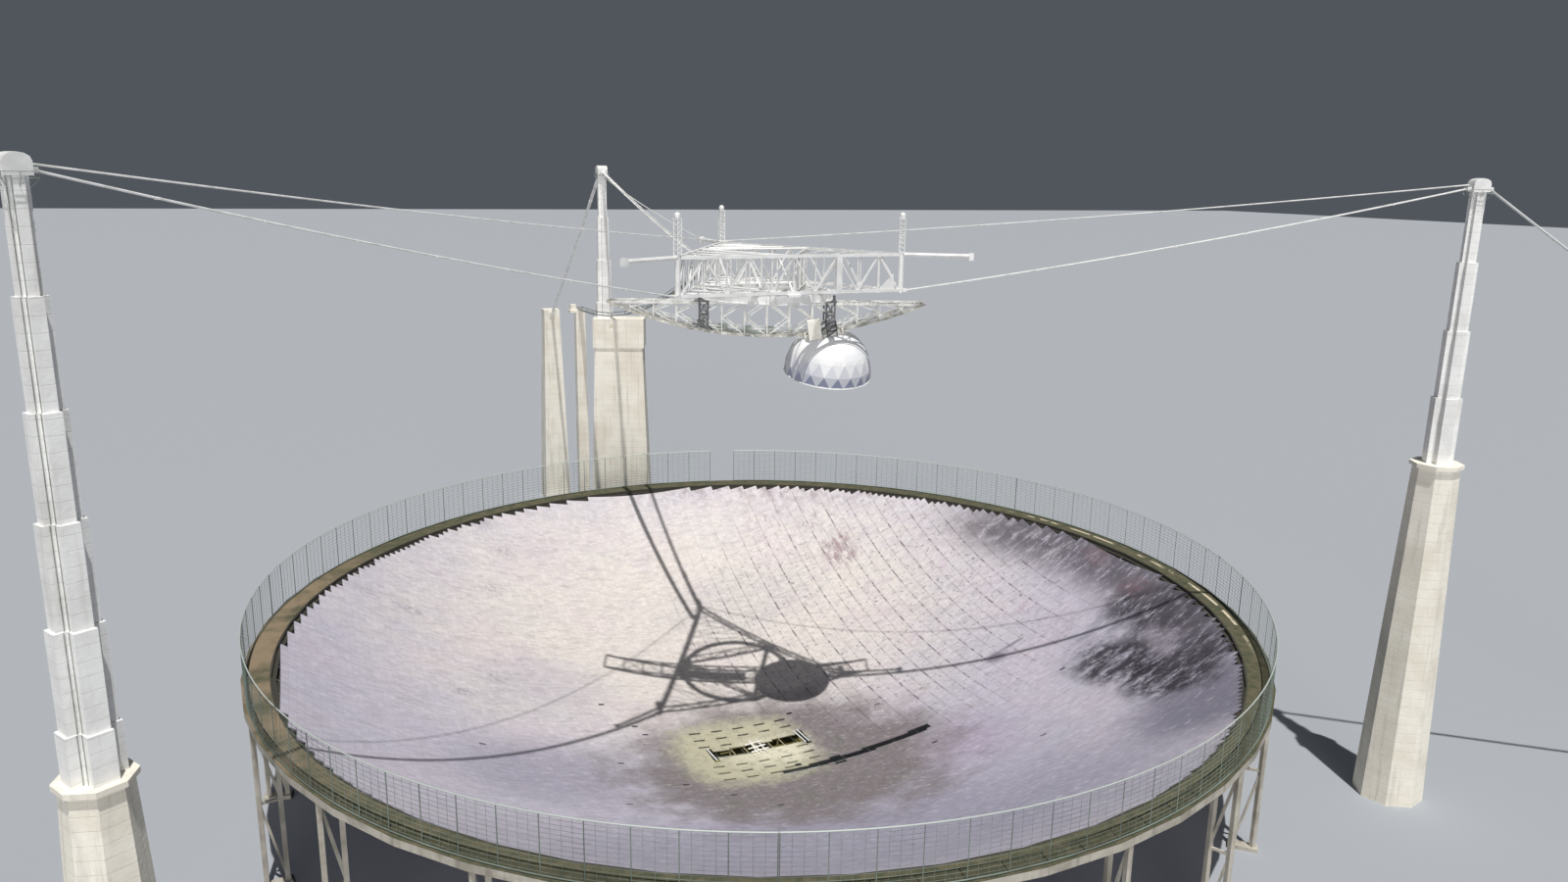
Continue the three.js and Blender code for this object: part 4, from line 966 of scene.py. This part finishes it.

# The azimuth arm
# A bow of two white steel trusses, 100 m long, with curved rails along its lower chords. Light bracing joins
# the trusses, and steel frames with trolleys, painted dark grey as shade, hang it from the track.
ARM_TURN, ARM_HALF, RAIL_R, ARM_TOP, ARM_SIDE = -20, 50, 125, 103, 3.8
swing = Matrix.Rotation(radians(ARM_TURN), 4, "Z")


def on_arm(x, y, z):
    return swing @ spot(x, y, z)


def rail_z(x):
    return SPHERE_Z - sqrt(RAIL_R**2 - x * x)


arm_steel, tree, shader = surface("arm_steel", 0.55, 0.1)
where = real_metres(tree)
depth = vectors(tree, "LENGTH", vectors(tree, "SUBTRACT", where, (0, 0, SPHERE_Z)))
# Painted shade and grime: the lower chords and rails, nearest the dish, are darker.
shade_and_grime = both(tree, eased(tree, depth, 123.2, 124.6), cloud(tree, where, 0.5, 0.3, 0.55, 6.0, 0.7))
coat = layered(
    tree,
    mixed(tree, cloud(tree, where, 0.3, 0.35, 0.7), tone(242, 242, 238), tone(216, 215, 208)),
    (shade_and_grime, 0.75, tone(146, 142, 130)),
    (cloud(tree, where, 0.8, 0.6, 0.72, 6.0, 0.7), 0.4, tone(150, 140, 122)),
)
tree.links.new(coat, shader.inputs["Base Color"])
arm_bars = bar_tree("arm_bars", arm_steel)
repaint("azimuth_arm", arm_steel)

arm_bays = 14
tie_y, tie_lift, high = ARM_SIDE - 0.3, 0.35, ARM_TOP - 0.35
place = [ARM_HALF * (-1 + 2 * i / arm_bays) for i in range(arm_bays + 1)]
ties = []
for i in range(1, arm_bays):
    x0, x1 = place[i], place[i + 1]
    low0, low1 = rail_z(x0) + tie_lift, rail_z(x1) + tie_lift
    ties.append([on_arm(x0, -tie_y, low0), on_arm(x0, tie_y, low0)])
    if i < arm_bays - 1:
        for way in (-1, 1):
            ties.append([on_arm(x0, -tie_y * way, high), on_arm(x1, tie_y * way, high)])
        ties.append([on_arm(x0, -tie_y, low0), on_arm(x1, tie_y, low1)])
bars_piece("arm_cross_bracing", arm_bars, ties, 0.15, "turning_arm", "white_paint")
handrails = []
for side in (-1, 1):
    for lift in (1.4, 2.3):
        handrails.append([on_arm(x, side * (ARM_SIDE - 0.6), rail_z(x) + lift) for x in place[2:-2]])
bars_piece("arm_walkway_rails", arm_bars, handrails, 0.07, "turning_arm", "white_paint")

# A deck of grey steel plate lies between the trusses, with cabinets on it; its grey is partly painted shade
deck = bmesh.new()
deck_start, deck_long, deck_steps = -24, 27, 18
plate_shape = Matrix.Diagonal((1.54 * M, 5.6 * M, 0.25 * M, 1))
for i in range(deck_steps):
    x = deck_start + deck_long * (i + 0.5) / deck_steps
    tilt = atan2(rail_z(x + 0.5) - rail_z(x - 0.5), 1)
    made = bmesh.ops.create_cube(deck, size=1, matrix=plate_shape)["verts"]
    laid = Matrix.Translation(on_arm(x, 0, rail_z(x) + 0.9)) @ swing @ Matrix.Rotation(-tilt, 4, "Y")
    bmesh.ops.transform(deck, matrix=laid, verts=made)
left_cabinets = ((-21, 1.2, 2.4, 1.6, 1.7), (-14, -1.1, 3.0, 1.4, 1.9))
right_cabinets = ((-6, 1.3, 2.2, 1.5, 1.6), (1, -1.2, 2.6, 1.6, 1.9))
for x, y, long, wide, tall in left_cabinets + right_cabinets:
    box_at(deck, on_arm(x, y, rail_z(x) + 1.1 + tall / 2), long, wide, tall, ARM_TURN, 0.06)
settle(solid_from(deck, "arm_deck", steel_grey), "turning_arm", "galvanised")

# The feet of the hanging frames, 20 m out each way, spread down to the lower chords
foot_out = 20
# The hanging frames and their feet are painted dark grey as the shade they stand in.
shade_grey_steel = two_tone("shade_grey_steel", 0.6, 0.5, tone(122, 122, 126), tone(88, 88, 92), (0.4, 0.4, 0.7))
shade_grey_bars = bar_tree("shade_grey_bars", shade_grey_steel)
for number, side in ((1, -1), (2, 1)):
    repaint(f"arm_hanger_{number}", shade_grey_steel)
    feet = []
    for way in (-1, 1):
        low_x = foot_out * side + 2.9 * way
        for y in (-1, 1):
            top = on_arm(foot_out * side + 1.35 * way, 4.4 * y, 95.6)
            feet.append([top, on_arm(low_x, 3.85 * y, rail_z(low_x) + 0.75)])
    bars_piece(f"arm_hanger_feet_{number}", shade_grey_bars, feet, 0.22, "turning_arm", "galvanised")

# The dome
# A white shell of flat triangular panels over two rows at the foot, smooth above, with a seam where the
# shell was closed. The triangles of the two rows carry bluish grey painted shade. It hangs on a carriage
# that rolls along the arm's rails.
ZENITH = -8.3
DOME_R, DROP, TOP_CUT, FOOT_CUT, FOOT_TURN, FOOT_LEAN = 14.1, 12.4, 11.4, 1.4, 13, 11
foot_turn = Matrix.Rotation(radians(FOOT_TURN), 4, "Y") @ Matrix.Rotation(radians(FOOT_LEAN), 4, "X")
arm_frame = Matrix.Translation((0, 0, SPHERE_Z * M + RIM)) @ swing @ Matrix.Rotation(radians(ZENITH), 4, "Y")
dome_centre = Vector((0, 0, -(RAIL_R + DROP) * M))

dome_white, tree, shader = surface("dome_white", 0.4)
where = real_metres(tree)
# Painted shade: the foot triangles are mixed towards bluish grey by their facet shade.
row = add(tree, "ShaderNodeAttribute", attribute_name="facet_shade").outputs["Fac"]
skin = mixed(tree, cloud(tree, where, 0.12, 0.35, 0.7), tone(244, 244, 244), tone(226, 228, 234))
tree.links.new(mixed(tree, row, skin, tone(150, 156, 178)), shader.inputs["Base Color"])
seam_grey, tree, shader = surface("seam_grey", 0.6)
shader.inputs["Base Color"].default_value = tone(150, 152, 160)


def on_ball(polar, turn):
    flat_reach = DOME_R * sin(polar)
    return Vector((flat_reach * cos(turn), flat_reach * sin(turn), DOME_R * cos(polar)))


def dome_shell():
    """Two rows of flat triangles at the foot, and smooth rings above them to the pole."""
    segments, split_in, smooth_rings = 20, 3, 14
    # Painted shade on each row's triangles, 1 the darkest.
    facet_shade_tones = ((1.0, 0.45), (0.35, 0.12))  # of the triangles that point up and down, row by row
    foot_angle = acos(-FOOT_CUT / DOME_R)
    ring_angles = [foot_angle, foot_angle - 0.25, foot_angle - 0.54]
    maker = bmesh.new()
    facet_shade = maker.faces.layers.float.new("facet_shade_tone")
    rings = [
        [on_ball(polar, 2 * pi * (i + 0.5 * k) / segments) for i in range(segments)]
        for k, polar in enumerate(ring_angles)
    ]
    verts = [[maker.verts.new(p) for p in ring] for ring in rings]
    for (low, high), (up_tone, down_tone) in zip(zip(verts, verts[1:]), facet_shade_tones):
        for i in range(segments):
            j = (i + 1) % segments
            maker.faces.new((low[i], low[j], high[i]))[facet_shade] = up_tone
            maker.faces.new((high[i], low[j], high[j]))[facet_shade] = down_tone
    # Points along the straight top edges of the triangles start the smooth part
    previous, last = [], len(rings) - 1
    for i in range(segments):
        a, b = rings[last][i], rings[last][(i + 1) % segments]
        previous += [verts[last][i]] + [maker.verts.new(a.lerp(b, s / split_in)) for s in range(1, split_in)]
    count = segments * split_in
    for k in range(1, smooth_rings):
        polar = ring_angles[-1] * (1 - k / smooth_rings)
        turns = [2 * pi * (i / split_in + 0.5 * last) / segments for i in range(count)]
        ring = [maker.verts.new(on_ball(polar, turn)) for turn in turns]
        for i in range(count):
            j = (i + 1) % count
            maker.faces.new((previous[i], previous[j], ring[j], ring[i])).smooth = k > 1
        previous = ring
    maker.faces.new(previous).smooth = True
    maker.transform(foot_turn)
    # The flat roof, where the carriage sits
    everything = maker.verts[:] + maker.edges[:] + maker.faces[:]
    roof = {"plane_co": (0, 0, TOP_CUT), "plane_no": (0, 0, 1), "clear_outer": True}
    cut = bmesh.ops.bisect_plane(maker, geom=everything, **roof)
    rim = [e for e in cut["geom_cut"] if isinstance(e, bmesh.types.BMEdge)]
    bmesh.ops.contextual_create(maker, geom=rim)
    bmesh.ops.recalc_face_normals(maker, faces=maker.faces)
    return maker, [f[facet_shade] for f in maker.faces]


shell, facet_shades = dome_shell()
shell.transform(Matrix.Scale(M, 4))
shell.transform(arm_frame @ Matrix.Translation(dome_centre))
dome_piece = solid_from(shell, "dome_shell", dome_white)
shade_layer = dome_piece.data.attributes.new("facet_shade", "FLOAT", "FACE")
shade_layer.data.foreach_set("value", facet_shades)
wall = dome_piece.modifiers.new("wall", "SOLIDIFY")
wall.thickness = 0.3 * M
wall.offset = -1
settle(dome_piece, "dome_car", "dome_skin", "dome")


def from_dome(p):
    """A point of the dome's own level frame, in real metres from its centre, in the model."""
    return arm_frame @ (dome_centre + Vector(p) * M)


def ball_circle(normal, offset, radius, steps=72, keep=lambda p: True):
    """Runs of the circle where a plane cuts the dome's sphere, in the model."""
    normal = Vector(normal).normalized()
    side = normal.orthogonal().normalized()
    other = normal.cross(side)
    reach = sqrt(radius**2 - offset**2)
    found = [[]]
    for i in range(steps + 1):
        turn = 2 * pi * i / steps
        p = normal * offset + side * (reach * cos(turn)) + other * (reach * sin(turn))
        if keep(p):
            found[-1].append(from_dome(p))
        elif found[-1]:
            found.append([])
    return [run for run in found if len(run) > 1]


foot_normal = foot_turn.to_3x3() @ Vector((0, 0, 1))


def on_shell(p):
    return p.z < TOP_CUT and p.dot(foot_normal) > -FOOT_CUT + 0.4


seam_lines = ball_circle((0.265, -0.934, -0.24), 7.96, DOME_R + 0.02, keep=on_shell)
bars_piece("dome_seam", bar_tree("seam_bars", seam_grey), seam_lines, 0.11, "dome_car", "dome_skin", 5)
lip_lines = ball_circle(foot_normal, -FOOT_CUT + 0.12, DOME_R - 0.1, 88)
bars_piece("dome_lip", white_bars, lip_lines, 0.28, "dome_car", "white_paint", 6)

# The carriage and the equipment house
# White steel beams on the dome's flat roof carry the rollers and a cream painted house. Laced posts beside
# the house, painted dark grey as shade, stiffen the frame.
cream_steel, tree, shader = surface("cream_steel", 0.6)
where = real_metres(tree)
coat = mixed(tree, cloud(tree, where, 0.3, 0.35, 0.7), tone(252, 250, 242), tone(240, 234, 220))
across_arm = (sin(radians(-ARM_TURN)), cos(radians(-ARM_TURN)), 0)
beside_arm = vectors(tree, "DOT_PRODUCT", where, across_arm)
coat = mixed(tree, eased(tree, beside_arm, -5.06, -4.96), coat, tone(238, 238, 236))
tree.links.new(coat, shader.inputs["Base Color"])
repaint("dome_carriage", cream_steel)

roof_level = TOP_CUT + 0.05
post_x, post_y, post_height, lacing_step, lacing_bays = (1, 4), (-5.5, -7.2), 5, 1.6, 3
lattice = [
    [from_dome((x, y, roof_level)), from_dome((x, y, roof_level + post_height))]
    for y in post_y
    for x in post_x
]
faces_of_frame = [[(x, y) for x in post_x] for y in post_y] + [[(x, y) for y in post_y] for x in post_x]
for left, right in faces_of_frame:
    for k in range(lacing_bays):
        low = roof_level + 0.2 + lacing_step * k
        high = low + lacing_step
        lattice += [[from_dome((*left, z)), from_dome((*right, high))] for z in (low, high)]
bars_piece("carriage_lattice", shade_grey_bars, lattice, 0.13, "dome_car", "galvanised")

# The footbridge
# A light steel footbridge from the far tower's block to a landing on the platform. It hangs in a long
# curve from a tall concrete pier.
repaint("footbridge", steel_grey)
repaint("footbridge_pier", tower_concrete)

# The frame in the middle slot
# A light steel frame stands on a long concrete pad under the slot, to hold what is lifted through it.
# Pale rails cross the slot at its ends and in its middle, just above the panels.
pad_and_frame, tree, shader = surface("pad_and_frame", 0.8)
where = real_metres(tree)
mossy = mixed(tree, cloud(tree, where, 0.4, 0.35, 0.65, 6.0), tone(148, 140, 84), tone(98, 92, 52))
above_pad = eased(tree, split(tree, where)[2], -51.2, -51.0)
tree.links.new(mixed(tree, above_pad, mossy, tone(176, 166, 136)), shader.inputs["Base Color"])
repaint("centre_frame", pad_and_frame)
slot_x, slot_y, slot_turn = -4, -7.7, 3.5


def in_slot(along, aside, z):
    """A place along and across the slot, and above the panels."""
    turn = radians(slot_turn)
    x = slot_x + along * cos(turn) - aside * sin(turn)
    y = slot_y + along * sin(turn) + aside * cos(turn)
    return spot(x, y, bowl_height(x, y) + z)


end_rails = [[in_slot(along, -4.6, 0.3), in_slot(along, 4.6, 0.3)] for along in (-17.4, 15.6, 17.0)]
bars_piece("slot_rails", white_bars, end_rails, 0.3, "structure", "white_paint")
crossing = []
for along, lean in ((-2.6, 1.2), (-0.9, -0.8), (0.8, 0.4)):
    crossing.append([in_slot(along, -5.2, 0.3), in_slot(along + lean, 4.8, 0.3)])
for aside in (-3.2, -0.6, 2.4):
    crossing.append([in_slot(-4.4, aside, 0.4), in_slot(2.4, aside + 0.8, 0.4)])
bars_piece("slot_crossing", bar_tree("cream_bars", cream_steel), crossing, 0.3, "structure", "galvanised")
